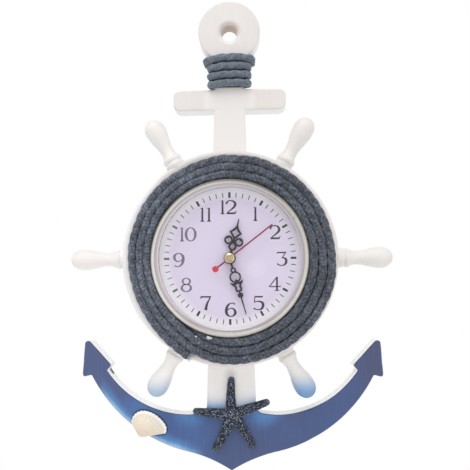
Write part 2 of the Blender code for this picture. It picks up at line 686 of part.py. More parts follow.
def make_handles():
    names = ("right", "upper_right", "upper_left", "left", "lower_left", "lower_right")
    profile = [(HANDLE_RADIUS * wide, HANDLE_LENGTH * along) for along, wide in HANDLE_SHARES]
    profile += [(DOWEL_RADIUS, 0), (DOWEL_RADIUS, -DOWEL_LENGTH), (0, -DOWEL_LENGTH)]
    seat = RIM_RADIUS + GAP
    for i, name in enumerate(names):
        turn = math.tau * i / HANDLE_COUNT
        turned(
            "handle_" + name, profile, 14, WHEEL_PAINT, DIAL_AXIS, turn=(0, math.radians(90), turn),
            place=(seat * math.cos(turn), seat * math.sin(turn), RIM_MIDDLE),
        )


# Rope

def tube(name, points, radius, colour, parent):
    curve = bpy.data.curves.new(name, "CURVE")
    curve.dimensions = "3D"
    curve.bevel_depth = radius
    curve.bevel_resolution = 1
    curve.use_fill_caps = True
    spline = curve.splines.new("POLY")
    spline.points.add(len(points) - 1)
    for point, place in zip(spline.points, points):
        point.co = (*place, 1)
    spline.use_smooth = True
    return add(name, curve, colour, parent)


def least_gap(points, diameter, apart):
    """The smallest distance between two stretches of the route that are a loop apart, less the diameter."""
    fine = []
    for start, end in zip(points, points[1:]):
        start, end = Vector(start), Vector(end)
        fine += [start.lerp(end, i / 4) for i in range(4)]
    skip = apart * 4
    least = min(
        (fine[i] - fine[j]).length for i in range(len(fine)) for j in range(i + skip, len(fine))
    )
    return least - diameter


def rim_rope_points():
    """A flat spiral that keeps to circles and steps out to the next one in a short stretch."""
    first_radius = (BEZEL_RADIUS + GAP + ROPE_RADIUS) / math.cos(math.pi / POINTS_PER_LOOP)
    height = RIM_FRONT + GAP + ROPE_RADIUS
    last = RIM_ROPE_END_DEG + 360 * RIM_ROPE_TURNS
    count = round((last - RIM_ROPE_START_DEG) / 360 * POINTS_PER_LOOP)
    points = []
    for i in range(count + 1):
        degrees = RIM_ROPE_START_DEG + (last - RIM_ROPE_START_DEG) * i / count
        turns = math.floor((degrees - STEP_FROM_DEG) / 360)
        into = (degrees - STEP_FROM_DEG - 360 * turns) / (STEP_TO_DEG - STEP_FROM_DEG)
        into = min(1.0, into)
        stepped = turns - 1 + into * into * (3 - 2 * into)
        place = on_circle((0, 0), first_radius + RIM_ROPE_PITCH * stepped, degrees)
        points.append((*place, height))
    return points


def neck_sides(half):
    """The rope's way round the neck's left side, from back to front, and its right side, as (x, z)."""
    reach = GAP + ROPE_RADIUS
    left = arc((-half, 0), reach, 270, 180, CORNER_POINTS - 1)
    left += arc((-half, BOARD_THICKNESS), reach, 180, 90, CORNER_POINTS - 1)
    return left, [(-x, z) for x, z in reversed(left)]


def neck_rope_points():
    """Loops that lie nearly level across the front and climb to the next one across the back."""
    lowest = STOCK_HEIGHT / 2 + GAP + ROPE_RADIUS
    front_climb = NECK_ROPE_PITCH * NECK_FRONT_CLIMB_SHARE
    back_climb = NECK_ROPE_PITCH - front_climb
    back = -(GAP + ROPE_RADIUS)
    front = BOARD_THICKNESS - back
    points = []
    for i in range(NECK_ROPE_TURNS):
        half = SHOULDER_HALF if i == NECK_ROPE_TURNS - 1 else NECK_HALF
        up = lowest + NECK_ROPE_PITCH * i
        left, right = neck_sides(half)
        for share in (0, 0.5, 0.9):
            points.append((-NECK_HALF * share, up - back_climb * (1 - share) / 2, back))
        points += [(x, up, z) for x, z in left]
        points.append((0, up + front_climb / 2, front))
        points += [(x, up + front_climb, z) for x, z in right]
        for share in (0.9, 0.5):
            points.append((NECK_HALF * share, up + front_climb + back_climb * (1 - share) / 2, back))
    points.append((0, up + front_climb + back_climb / 2, back))
    return points


def make_ropes():
    for name, points, parent, loop in (
        ("rim_rope", rim_rope_points(), DIAL_AXIS, POINTS_PER_LOOP),
        ("neck_rope", neck_rope_points(), FRONT, POINTS_PER_LOOP),
    ):
        tube(name, points, ROPE_RADIUS, SLATE_ROPE, parent)
        gap = least_gap(points, ROPE_DIAMETER, loop // 2)
        print(f"{name}: least gap to itself {gap * 1000:.2f} mm")


# Starfish and shell

def make_starfish():
    """A cage with a few sections along each of the five arms, smoothed over. The underside is flat."""
    shape = bmesh.new()
    side_share, shoulder_share = STAR_SIDE_SHARES

    def vert(degrees, along, side, height):
        turn = math.radians(degrees)
        return shape.verts.new((
            along * math.cos(turn) - side * math.sin(turn),
            along * math.sin(turn) + side * math.cos(turn),
            height,
        ))

    top = vert(0, 0, 0, STAR_HEIGHT)
    base = vert(0, 0, 0, 0)
    arms, valleys = [], []
    for i, (degrees, length_share) in enumerate(STAR_ARM_SHARES):
        stations = []
        for along_share, taper_share, height_share in STAR_STATION_SHARES:
            along = STAR_ARM * length_share * along_share
            half = STAR_BASE_HALF + (STAR_TIP_HALF - STAR_BASE_HALF) * taper_share
            height = STAR_HEIGHT * height_share
            stations.append([
                vert(degrees, along, -half, 0),
                vert(degrees, along, -half * side_share, height * shoulder_share),
                vert(degrees, along, 0, height),
                vert(degrees, along, half * side_share, height * shoulder_share),
                vert(degrees, along, half, 0),
            ])
        arms.append(stations)
        following = STAR_ARM_SHARES[(i + 1) % len(STAR_ARM_SHARES)][0]
        middle = degrees + ((following - degrees) % 360) / 2
        valleys.append((
            vert(middle, STAR_VALLEY, 0, 0),
            vert(middle, STAR_VALLEY * side_share, 0, STAR_HEIGHT * shoulder_share),
        ))
    for i, stations in enumerate(arms):
        first = stations[0]
        low, high = valleys[i]
        low_before, high_before = valleys[i - 1]
        after = arms[(i + 1) % len(arms)][0]
        faces = [
            (top, first[2], first[3], high),
            (top, high_before, first[1], first[2]),
            (high, first[3], first[4], low),
            (low_before, first[0], first[1], high_before),
            (base, first[0], first[4]),
            (base, first[4], low, after[0]),
            tuple(stations[-1]),
        ]
        for one, two in zip(stations, stations[1:]):
            for j in range(4):
                faces.append((one[j], two[j], two[j + 1], one[j + 1]))
            faces.append((one[0], one[4], two[4], two[0]))
        for face in faces:
            shape.faces.new(face)
    bmesh.ops.recalc_face_normals(shape, faces=shape.faces)
    crease = shape.edges.layers.float.new("crease_edge")
    for edge in shape.edges:
        grounded = [all(vert.co.z == 0 for vert in face.verts) for face in edge.link_faces]
        edge[crease] = 1.0 if any(grounded) and not all(grounded) else 0.0
    for face in shape.faces:
        face.smooth = True
    mesh = bpy.data.meshes.new("starfish")
    shape.to_mesh(mesh)
    shape.free()
    star = add("starfish", mesh, STAR_GRIT, FRONT, (STAR_RIGHT, -ARM_ROOT_DROP, BOARD_FRONT + GAP))
    smooth = star.modifiers.new("smooth", "SUBSURF")
    smooth.levels = 1
    smooth.render_levels = 1


def shell_reach(degrees):
    """How far the margin is from the hinge in a direction, straight between the rows of its table."""
    for (low, first), (high, last) in zip(SHELL_REACH_SHARES, SHELL_REACH_SHARES[1:]):
        if degrees <= high:
            break
    return SHELL_LENGTH * (first + (last - first) * (degrees - low) / (high - low))


def make_shell():
    """A ribbed fan that domes up from its margin, with the same wall all over."""
    columns = 2 * SHELL_RIBS
    fan = math.radians(SHELL_FAN_DEG)
    verts, faces = [], []
    for j in range(SHELL_ROWS + 1):
        out = SHELL_HINGE_SHARE + (1 - SHELL_HINGE_SHARE) * j / SHELL_ROWS
        for i in range(columns + 1):
            across = i / columns * 2 - 1
            turn = fan / 2 * across
            reach = shell_reach(math.degrees(turn)) * out
            rib = SHELL_RIB_HEIGHT * out * (1 if i % 2 else -1)
            dome = math.sin(math.pi * out**0.8) * math.sqrt(1 - across**2)
            height = SHELL_WALL + SHELL_RIB_HEIGHT + SHELL_DOME * dome + rib
            verts.append((reach * math.sin(turn), reach * math.cos(turn), height))
    for j in range(SHELL_ROWS):
        for i in range(columns):
            corner = j * (columns + 1) + i
            faces.append((corner, corner + 1, corner + columns + 2, corner + columns + 1))
    mesh = bpy.data.meshes.new("scallop_shell")
    mesh.from_pydata(verts, [], faces)
    shape = bmesh.new()
    shape.from_mesh(mesh)
    shape.faces.ensure_lookup_table()
    if shape.faces[0].normal.z < 0:
        bmesh.ops.reverse_faces(shape, faces=shape.faces)
    for face in shape.faces:
        face.smooth = True
    shape.to_mesh(mesh)
    shape.free()
    shell = add(
        "scallop_shell", mesh, SHELL_CREAM, FRONT,
        (-SHELL_LEFT, -ARM_ROOT_DROP - SHELL_BELOW, BOARD_FRONT + GAP),
        (0, 0, math.radians(SHELL_TURN_DEG)),
    )
    wall = shell.modifiers.new("wall", "SOLIDIFY")
    wall.thickness = SHELL_WALL
    wall.offset = -1


# Clock insert

def make_insert():
    can = turned(
        "clock_can",
        [
            (CAN_RADIUS - CAN_WALL, FLANGE_FRONT), (FLANGE_RADIUS, FLANGE_FRONT),
            (FLANGE_RADIUS, FLANGE_BACK), (CAN_RADIUS, FLANGE_BACK), (CAN_RADIUS, CAN_BACK),
            (SPINDLE_HOLE, CAN_BACK), (SPINDLE_HOLE, CAN_INSIDE), (CAN_RADIUS - CAN_WALL, CAN_INSIDE),
        ],
        40, WHITE_PLASTIC, DIAL_AXIS, closed=True,
    )
    for side in (-1, 1):
        cut(can, screw_hole(f"can_screw_hole_{side + 2}", side))
    turned(
        "dial", washer_profile(SPINDLE_HOLE, DIAL_RADIUS, DIAL_BACK, DIAL_FRONT), 40, DIAL_FACE,
        DIAL_AXIS, closed=True,
    )
    dome = FLANGE_RADIUS - LENS_FOOT
    sphere = (dome**2 + LENS_RISE**2) / (2 * LENS_RISE)
    rows = []
    for i in range(LENS_RINGS + 1):
        radius = dome * i / LENS_RINGS
        rows.append((radius, LENS_EDGE + LENS_RISE - sphere + math.sqrt(sphere**2 - radius**2)))
    under = [(radius, height - LENS_THICKNESS) for radius, height in reversed(rows)]
    profile = [*rows, (FLANGE_RADIUS, LENS_EDGE), (FLANGE_RADIUS, LENS_BACK), *under]
    turned("lens", profile, 40, CLEAR_LENS, DIAL_AXIS)
    lip = LENS_EDGE + GAP
    crest = LENS_EDGE + BEZEL_RISE
    width = BEZEL_RADIUS - BEZEL_OPENING
    profile = [(BEZEL_OPENING, lip)]
    for in_share, up_share in BEZEL_SHARES:
        profile.append((BEZEL_OPENING + width * in_share, lip + (crest - lip) * up_share))
    profile += [
        (BEZEL_RADIUS, FLANGE_BACK), (BEZEL_RADIUS - BEZEL_WALL, FLANGE_BACK),
        (BEZEL_RADIUS - BEZEL_WALL, lip),
    ]
    turned("bezel", profile, 60, CHAMPAGNE, DIAL_AXIS, closed=True)


# Movement

def rounded_box(left, foot, right, top, radius, steps):
    corners = []
    for x, y, first in (
        (right - radius, top - radius, 0), (left + radius, top - radius, 90),
        (left + radius, foot + radius, 180), (right - radius, foot + radius, 270),
    ):
        corners += arc((x, y), radius, first, first + 90, steps)
    return corners


def screw_hole(name, side):
    place = (side * (CASE_SIDE / 2 + EAR_REACH / 2), 0, 0)
    profile = rod_profile(SCREW_RADIUS + GAP, CASE_BACK - OVERRUN, CAN_INSIDE + OVERRUN)
    return turned(name, profile, 12, WHITE_PLASTIC, DIAL_AXIS, group=HELPERS, place=place)


def make_movement_case():
    half, wall = CASE_SIDE / 2, CASE_WALL
    outline = rounded_box(-half, CASE_FOOT, half, half, CASE_CORNER, 3)
    case = as_mesh(plate("movement_case", [outline], CASE_BACK, CASE_FRONT, BLACK_PLASTIC, DIAL_AXIS))
    reach = half + EAR_REACH
    ears = rounded_box(-reach, -EAR_HALF, reach, EAR_HALF, EAR_HALF * 0.9, 3)
    cut(case, as_mesh(plate(
        "case_ears", [ears], CASE_FRONT - EAR_THICKNESS, CASE_FRONT, BLACK_PLASTIC, DIAL_AXIS,
        group=HELPERS,
    )), "UNION")
    inside = half - wall
    room = rounded_box(-inside, CHAMBER_BOTTOM, inside, inside, CASE_CORNER - wall, 3)
    for name, outline, floor in (
        ("gear_room", room, CHAMBER_FLOOR),
        ("battery_bay", rounded_box(-inside, BAY_FOOT, inside, BAY_TOP, wall, 2), CASE_FRONT - BAY_FLOOR),
    ):
        cut(case, as_mesh(plate(
            name, [outline], CASE_BACK - OVERRUN, floor, BLACK_PLASTIC, DIAL_AXIS, group=HELPERS
        )))
    cut(case, turned(
        "spindle_hole", rod_profile(BUSH_RADIUS + GAP, CASE_BACK, CASE_FRONT + OVERRUN), 16,
        BLACK_PLASTIC, DIAL_AXIS, group=HELPERS,
    ))
    for side in (-1, 1):
        cut(case, screw_hole(f"case_screw_hole_{side + 2}", side))


def make_movement_cover():
    inside = CASE_SIDE / 2 - CASE_WALL - GAP
    outline = rounded_box(
        -inside, CHAMBER_BOTTOM + GAP, inside, inside, CASE_CORNER - CASE_WALL, 3
    )
    arbor_hole = circle((0, MOTION_CENTRES), MOTION_ARBOR_RADIUS + RUNNING_GAP, 12)
    plate(
        "movement_cover", [outline, arbor_hole], CASE_BACK, COVER_FRONT, BLACK_PLASTIC, DIAL_AXIS
    )


def make_screws():
    head_front = CASE_FRONT - EAR_THICKNESS - GAP
    head_back = head_front - SCREW_HEAD_HEIGHT
    profile = [
        (0, CAN_INSIDE - GAP), (SCREW_RADIUS * 0.6, CAN_INSIDE - GAP),
        (SCREW_RADIUS, CAN_INSIDE - GAP - SCREW_RADIUS * 0.4), (SCREW_RADIUS, head_front),
        (SCREW_HEAD_RADIUS, head_front), (SCREW_HEAD_RADIUS, head_back + SCREW_HEAD_HEIGHT * 0.3),
        (SCREW_HEAD_RADIUS * 0.85, head_back), (0, head_back),
    ]
    for side, name in ((-1, "movement_screw_left"), (1, "movement_screw_right")):
        middle = side * (CASE_SIDE / 2 + EAR_REACH / 2)
        screw = turned(name, profile, 12, STEEL, DIAL_AXIS, place=(middle, 0, 0))
        slot = block(
            name + "_slot",
            (middle - SCREW_SLOT / 2, -SCREW_HEAD_RADIUS - OVERRUN, head_back - OVERRUN),
            (middle + SCREW_SLOT / 2, SCREW_HEAD_RADIUS + OVERRUN, head_back + SCREW_HEAD_HEIGHT * 0.5),
            STEEL, DIAL_AXIS, HELPERS,
        )
        cut(screw, slot)


def make_battery():
    """An AA cell lying across the bay, its plain end to the left against a sprung leaf."""
    wall = CASE_SIDE / 2 - CASE_WALL
    middle_up = BAY_FOOT + GAP + BATTERY_RADIUS
    middle_out = CASE_FRONT - BAY_FLOOR - GAP - BATTERY_RADIUS
    left = -wall + GAP + CONTACT_THICKNESS + CONTACT_BOW + GAP
    profile = [
        (0, BATTERY_LENGTH + BATTERY_NUB_LENGTH), (BATTERY_NUB_RADIUS, BATTERY_LENGTH + BATTERY_NUB_LENGTH),
        (BATTERY_NUB_RADIUS, BATTERY_LENGTH), (BATTERY_RADIUS * 0.93, BATTERY_LENGTH),
        (BATTERY_RADIUS, BATTERY_LENGTH - BATTERY_RADIUS * 0.07), (BATTERY_RADIUS, 0), (0, 0),
    ]
    turned(
        "battery", profile, 20, BATTERY_JACKET, DIAL_AXIS, place=(left, middle_up, middle_out),
        turn=(0, math.radians(90), 0),
    )
    foot, top = middle_up - CONTACT_WIDTH / 2, middle_up + CONTACT_WIDTH / 2
    low, high = middle_out - CONTACT_WIDTH / 2, middle_out + CONTACT_WIDTH / 2
    leaf_left = -wall + GAP
    leaf = bow((leaf_left, top), (leaf_left, foot), -CONTACT_BOW, 6)
    leaf += [(x + CONTACT_THICKNESS, y) for x, y in reversed(leaf)]
    plate("contact_negative", [leaf], low, high, STEEL, DIAL_AXIS)
    right = left + BATTERY_LENGTH + BATTERY_NUB_LENGTH + GAP
    block(
        "contact_positive", (right, foot, low), (right + CONTACT_THICKNESS, top, high), BRASS, DIAL_AXIS
    )


def make_electronics():
    """A circuit board on the floor of the gear room, and the stepping motor's coil on its core."""
    across = CASE_SIDE / 4 + BOARD_CHIP_WIDTH / 4
    back = CHAMBER_FLOOR - GAP - BOARD_CHIP_THICKNESS
    up = MOTION_CENTRES
    block(
        "circuit_board",
        (across - BOARD_CHIP_WIDTH / 2, up - BOARD_CHIP_LENGTH / 2, back),
        (across + BOARD_CHIP_WIDTH / 2, up + BOARD_CHIP_LENGTH / 2, back + BOARD_CHIP_THICKNESS),
        CIRCUIT_GREEN, DIAL_AXIS,
    )
    half = COIL_LENGTH / 2
    over = half + COIL_CORE_OVER
    profile = [
        (0, over), (COIL_CORE_RADIUS, over), (COIL_CORE_RADIUS, half), (COIL_RADIUS, half),
        (COIL_RADIUS, -half), (COIL_CORE_RADIUS, -half), (COIL_CORE_RADIUS, -over), (0, -over),
    ]
    turned(
        "coil", profile, 16, COPPER, DIAL_AXIS,
        place=(-across, up, CHAMBER_FLOOR - GAP - COIL_RADIUS), turn=(math.radians(-90), 0, 0),
    )


# Motion work

def gear_outline(teeth, module, tooth_up):
    """Straight-sided teeth with plenty of play. A tooth points straight up, or else a gap does."""
    radius = teeth * module / 2
    root, tip = radius - DEDENDUM_SHARE * module, radius + ADDENDUM_SHARE * module
    pitch = 360 / teeth
    points = []
    for i in range(teeth):
        middle = 90 + pitch * (i if tooth_up else i + 0.5)
        for place, half_share in (
            (root, -TOOTH_ROOT_SHARE), (tip, -TOOTH_TIP_SHARE), (tip, TOOTH_TIP_SHARE),
            (root, TOOTH_ROOT_SHARE),
        ):
            points.append(on_circle((0, 0), place, middle + pitch * half_share))
    return points


def gear(name, teeth, module, back, front, hole, axis, tooth_up=True):
    loops = [gear_outline(teeth, module, tooth_up)]
    if hole:
        loops.append(circle((0, 0), hole, 12))
    return as_mesh(plate(name, loops, back, front, GEAR_PLASTIC, axis, group=HELPERS), flat_caps=False)


def make_motion_work():
    turned(
        "spindle_bush",
        [
            (BUSH_BORE, DIAL_FRONT + BUSH_REACH), (BUSH_RADIUS, DIAL_FRONT + BUSH_REACH),
            (BUSH_RADIUS, BUSH_BACK + BUSH_FLANGE), (BUSH_FLANGE_RADIUS, BUSH_BACK + BUSH_FLANGE),
            (BUSH_FLANGE_RADIUS, BUSH_BACK), (BUSH_BORE, BUSH_BACK),
        ],
        16, STEEL, DIAL_AXIS, closed=True,
    )
    pipe = turned(
        "hour_wheel",
        washer_profile(
            PIPE_BORE, PIPE_RADIUS, HOUR_WHEEL_FRONT - WHEEL_THICKNESS, HOUR_HAND_FRONT + PIPE_REACH
        ),
        16, GEAR_PLASTIC, DIAL_AXIS, closed=True,
    )
    join(pipe, [gear(
        "hour_teeth", HOUR_WHEEL_TEETH, HOUR_MODULE, HOUR_WHEEL_FRONT - WHEEL_THICKNESS,
        HOUR_WHEEL_FRONT, (PIPE_BORE + PIPE_RADIUS) / 2, DIAL_AXIS, tooth_up=False,
    )])
    overlap = WHEEL_SPACE / 4
    arbor = turned(
        "minute_arbor",
        washer_profile(
            ARBOR_BORE, ARBOR_RADIUS, MINUTE_WHEEL_FRONT - WHEEL_THICKNESS,
            MINUTE_HAND_FRONT + PIPE_REACH,
        ),
        12, BRASS, DIAL_AXIS, closed=True,
    )
    join(arbor, [
        gear(
            "minute_teeth", MINUTE_WHEEL_TEETH, TRAIN_MODULE, MINUTE_WHEEL_FRONT - WHEEL_THICKNESS,
            MINUTE_WHEEL_FRONT, (ARBOR_BORE + ARBOR_RADIUS) / 2, DIAL_AXIS,
        ),
        gear(
            "minute_pinion", MINUTE_PINION_TEETH, MOTION_MODULE,
            MOTION_WHEEL_FRONT - WHEEL_THICKNESS - overlap, MOTION_WHEEL_FRONT + overlap,
            (ARBOR_BORE + ARBOR_RADIUS) / 2, DIAL_AXIS, tooth_up=False,
        ),
    ])
    pin = turned(
        "second_arbor",
        rod_profile(PIN_RADIUS, COVER_FRONT + GAP, SECOND_HAND_FRONT + GAP + BOSS_HEIGHT * BOSS_FACE_SHARE),
        12, STEEL, DIAL_AXIS,
    )
    join(pin, [gear(
        "second_teeth", SECOND_WHEEL_TEETH, TRAIN_MODULE, SECOND_WHEEL_FRONT - WHEEL_THICKNESS,
        SECOND_WHEEL_FRONT, 0, DIAL_AXIS,
    )])
    knob_front = CASE_BACK - GAP
    rod = turned(
        "motion_wheel",
        rod_profile(MOTION_ARBOR_RADIUS, knob_front - KNOB_HEIGHT * 0.6, CHAMBER_FLOOR - GAP),
        12, GEAR_PLASTIC, MOTION_AXIS,
    )
    join(rod, [
        gear(
            "motion_teeth", MOTION_WHEEL_TEETH, MOTION_MODULE, MOTION_WHEEL_FRONT - WHEEL_THICKNESS,
            MOTION_WHEEL_FRONT, 0, MOTION_AXIS,
        ),
        gear(
            "motion_pinion", MOTION_PINION_TEETH, HOUR_MODULE, MOTION_WHEEL_FRONT - overlap,
            HOUR_WHEEL_FRONT + overlap, 0, MOTION_AXIS,
        ),
    ])
    knob_back = knob_front - KNOB_HEIGHT
    flutes = []
    for i in range(KNOB_FLUTES * 2):
        reach = KNOB_RADIUS - KNOB_FLUTE_DEPTH * (i % 2)
        flutes.append(on_circle((0, 0), reach, 180 * i / KNOB_FLUTES))
    knob = as_mesh(plate("set_knob", [flutes], knob_back, knob_front, BLACK_PLASTIC, MOTION_AXIS))
    seat = turned(
        "knob_seat",
        rod_profile(
            MOTION_ARBOR_RADIUS + RUNNING_GAP, knob_front - KNOB_HEIGHT * 0.7, knob_front + OVERRUN
        ),
        12, BLACK_PLASTIC, MOTION_AXIS, group=HELPERS,
    )
    cut(knob, seat)


# Hands

def sized(shares, length):
    """A table of (side, along) shares as a right-hand outline, closed by its mirror image."""
    right = [(side * length, along * length) for side, along in shares]
    return right + [(-x, y) for x, y in reversed(right) if x > 0]


def drop(up, radius, tip):
    return arc((0, up), radius, 150, 390, 10) + [(0, tip)]


def ring(centre, radius, bar, sides):
    return [circle(centre, radius, sides), circle(centre, radius - bar, sides)]


def hand(name, colour, degrees, front, thickness, hub_profile, shapes):
    """A hub with the flat shapes joined on, pointing up and then turned to its place."""
    turn = -math.radians(degrees)
    made = turned(name, hub_profile, 16, colour, DIAL_AXIS, closed=True, turn=(0, 0, turn))
    for i, loops in enumerate(shapes):
        piece = plate(
            f"{name}_shape_{i + 1}", loops, front - thickness, front, colour, DIAL_AXIS, turn, HELPERS
        )
        cut(made, as_mesh(piece, flat_caps=False), "UNION").solver = "MANIFOLD"


def make_hour_hand():
    size = HOUR_LENGTH
    side, along = HOUR_RING_SHARES
    shapes = [
        [sized(HOUR_NECK_SHARES, size)],
        [
            drop(size * HOUR_DROP_SHARES[0], size * HOUR_DROP_SHARES[1], size * HOUR_DROP_SHARES[2]),
            drop(size * HOUR_DROP_SHARES[0], size * HOUR_DROP_SHARES[3], size * HOUR_DROP_SHARES[4]),
        ],
        [sized(HOUR_JOINT_SHARES, size)],
        [sized(HOUR_KITE_SHARES, size), sized(HOUR_KITE_HOLE_SHARES, size)],
    ]
    radius = size * HOUR_RING_RADIUS_SHARE
    for way in (-1, 1):
        centre = (way * size * side, size * along)
        shapes.append(ring(centre, radius, HOUR_BAR, 14))
        spur = on_circle(centre, radius - HOUR_BAR, 90 - way * HOUR_SPUR_DEG)
        shapes.append([circle(spur, HOUR_BAR * 0.75, 8)])
    bore = PIPE_RADIUS + RUNNING_GAP
    hub = washer_profile(bore, HOUR_HUB, HOUR_HAND_FRONT - HUB_THICKNESS, HOUR_HAND_FRONT)
    hand("hour_hand", BLACK_HAND, HOUR_DEG, HOUR_HAND_FRONT, HAND_THICKNESS, hub, shapes)


def make_minute_hand():
    size = MINUTE_LENGTH
    shapes = [
        [sized(MINUTE_NECK_SHARES, size)],
        [sized(MINUTE_CALYX_SHARES, size), sized(MINUTE_CALYX_HOLE_SHARES, size)],
        [sized(MINUTE_NEEDLE_SHARES, size)],
    ]
    for along, radius_share, hollow, sides in MINUTE_ROUND_SHARES:
        centre = (0, size * along)
        radius = size * radius_share
        shapes.append(ring(centre, radius, MINUTE_BAR, sides) if hollow else [circle(centre, radius, sides)])
    bore = ARBOR_RADIUS + RUNNING_GAP
    hub = washer_profile(bore, MINUTE_HUB, MINUTE_HAND_FRONT - HUB_THICKNESS, MINUTE_HAND_FRONT)
    hand("minute_hand", BLACK_HAND, MINUTE_DEG, MINUTE_HAND_FRONT, HAND_THICKNESS, hub, shapes)


def make_second_hand():
    inside = (SECOND_HUB + PIN_RADIUS + RUNNING_GAP) / 2
    half = SECOND_BAR / 2
    blade = [(half, inside), (half * 0.8, SECOND_LENGTH), (-half * 0.8, SECOND_LENGTH), (-half, inside)]
    tail = [(half, -inside), (half, -SECOND_TAIL), (-half, -SECOND_TAIL), (-half, -inside)]
    shapes = [[blade], [tail], [circle((0, -SECOND_TAIL), SECOND_DISC, 16)]]
    bore = PIN_RADIUS + RUNNING_GAP
    hub = washer_profile(
        bore, SECOND_HUB, SECOND_HAND_FRONT - SECOND_HAND_THICKNESS, SECOND_HAND_FRONT
    )
    hand("second_hand", RED_HAND, SECOND_DEG, SECOND_HAND_FRONT, SECOND_HAND_THICKNESS, hub, shapes)
    back = SECOND_HAND_FRONT + GAP
    front = back + BOSS_HEIGHT
    turned(
        "second_boss",
        [
            (0, front), (BOSS_RADIUS * 0.57, front), (BOSS_RADIUS * 0.65, front - BOSS_HEIGHT * 0.15),
            (BOSS_RADIUS * 0.88, front - BOSS_HEIGHT * 0.3), (BOSS_RADIUS, front - BOSS_HEIGHT * 0.6),
            (BOSS_RADIUS, back), (bore, back), (bore, front - BOSS_HEIGHT * 0.25),
            (0, front - BOSS_HEIGHT * 0.25),
        ],
        24, BRASS, DIAL_AXIS,
    )


make_anchor_board()
make_wheel_rim()
make_handles()
make_ropes()
make_starfish()
make_shell()
make_insert()
make_movement_case()
make_movement_cover()
make_screws()
make_battery()
make_electronics()
make_motion_work()
make_hour_hand()
make_minute_hand()
make_second_hand()
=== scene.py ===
"""The looks of the ship wheel clock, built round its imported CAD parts.

Everything is in metres in the frame of the CAD: +X is right, +Z is up, the clock faces -Y and its
back lies on Y = 0. Outlines and profiles are written as seen from the front, as x, up and out."""

import math
import random

import bmesh
import bpy
from mathutils import Matrix, Vector, noise
from mathutils.geometry import tessellate_polygon
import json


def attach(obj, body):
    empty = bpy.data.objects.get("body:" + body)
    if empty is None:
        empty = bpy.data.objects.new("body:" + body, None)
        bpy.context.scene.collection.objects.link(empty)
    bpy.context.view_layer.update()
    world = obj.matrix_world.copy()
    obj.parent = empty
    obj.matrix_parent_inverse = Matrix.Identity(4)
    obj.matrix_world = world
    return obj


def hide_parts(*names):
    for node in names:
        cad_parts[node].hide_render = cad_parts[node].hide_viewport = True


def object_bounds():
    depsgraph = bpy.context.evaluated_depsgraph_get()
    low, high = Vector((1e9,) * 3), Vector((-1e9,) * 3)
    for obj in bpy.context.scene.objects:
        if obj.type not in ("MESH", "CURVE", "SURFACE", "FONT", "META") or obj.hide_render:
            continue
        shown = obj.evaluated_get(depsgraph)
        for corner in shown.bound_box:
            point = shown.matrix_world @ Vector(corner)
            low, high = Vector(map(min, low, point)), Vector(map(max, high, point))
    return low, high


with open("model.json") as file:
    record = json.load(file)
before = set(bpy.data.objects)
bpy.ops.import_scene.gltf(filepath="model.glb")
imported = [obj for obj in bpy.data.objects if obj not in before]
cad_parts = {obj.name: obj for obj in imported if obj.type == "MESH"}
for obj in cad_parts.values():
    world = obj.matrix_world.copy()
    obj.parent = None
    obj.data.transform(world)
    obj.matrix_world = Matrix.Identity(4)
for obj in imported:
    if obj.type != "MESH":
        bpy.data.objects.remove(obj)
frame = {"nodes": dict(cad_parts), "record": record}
cad_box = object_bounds()
noise.seed_set(1)
# The body of each CAD node, as the record gives it
BODY_OF = {
    node: body for body, nodes in frame["record"]["behaviour"]["bodies"].items() for node in nodes
}
MM = 0.001

# Sizes that the CAD also has
DIAL_UP = -115.9 * MM
RIM_RADIUS = 75.7 * MM
RIM_BACK, RIM_FRONT = 12.3 * MM, 27.3 * MM
BORE_RADIUS = 51.5 * MM
BEZEL_RADIUS = 54.75 * MM
ROPE_RADIUS = 2.7 * MM
GAP = 0.3 * MM
BOARD = 12 * MM
HOLE_UP, HOLE_RADIUS, HOLE_LIP = 49.3 * MM, 5.6 * MM, 3.8 * MM
STAR_SPOT = (0.6 * MM, -228.6 * MM)
SHELL_HINGE = (-66.0 * MM, -243.8 * MM)
SHELL_TURN, SHELL_FAN = 25.0, 112.0
# The margin's distance from the hinge in millimetres, by degrees to the right of the shell's middle
SHELL_REACHES = (
    (-56, 12.0), (-50, 13.95), (-40, 16.6), (-25, 18.8), (-10, 19.3), (0, 19.4), (15, 19.6), (30, 20.0),
    (40, 20.4), (48, 20.3), (56, 18.5),
)
FRONT = Matrix.Rotation(math.radians(90), 4, "X")
DIAL = Matrix.Translation((0, 0, DIAL_UP)) @ FRONT


# Materials

def srgb(red, green, blue):
    """An 8-bit screen colour as linear light."""
    made = []
    for part in (red, green, blue):
        part /= 255
        made.append(part / 12.92 if part <= 0.04045 else ((part + 0.055) / 1.055) ** 2.4)
    return (*made, 1.0)


class Value:
    """A number that a node gives, so that sums can be written as sums."""

    def __init__(self, graph, socket):
        self.graph, self.socket = graph, socket

    def __add__(self, other):
        return self.graph.math("ADD", self, other)

    def __sub__(self, other):
        return self.graph.math("SUBTRACT", self, other)

    def __rsub__(self, other):
        return self.graph.math("SUBTRACT", other, self)

    def __mul__(self, other):
        return self.graph.math("MULTIPLY", self, other)

    def __neg__(self):
        return self.graph.math("MULTIPLY", self, -1.0)

    def __abs__(self):
        return self.graph.math("ABSOLUTE", self)

    __radd__, __rmul__ = __add__, __mul__

    def ease(self, low, high, first=0.0, last=1.0):
        """Goes smoothly from first to last as the value goes from low to high."""
        made = self.graph.node(
            "ShaderNodeMapRange", {"interpolation_type": "SMOOTHSTEP"}, Value=self,
            From_Min=low, From_Max=high, To_Min=first, To_Max=last,
        )
        return Value(self.graph, made.outputs[0])


def highest(value, *others):
    for other in others:
        value = value.graph.math("MAXIMUM", value, other)
    return value


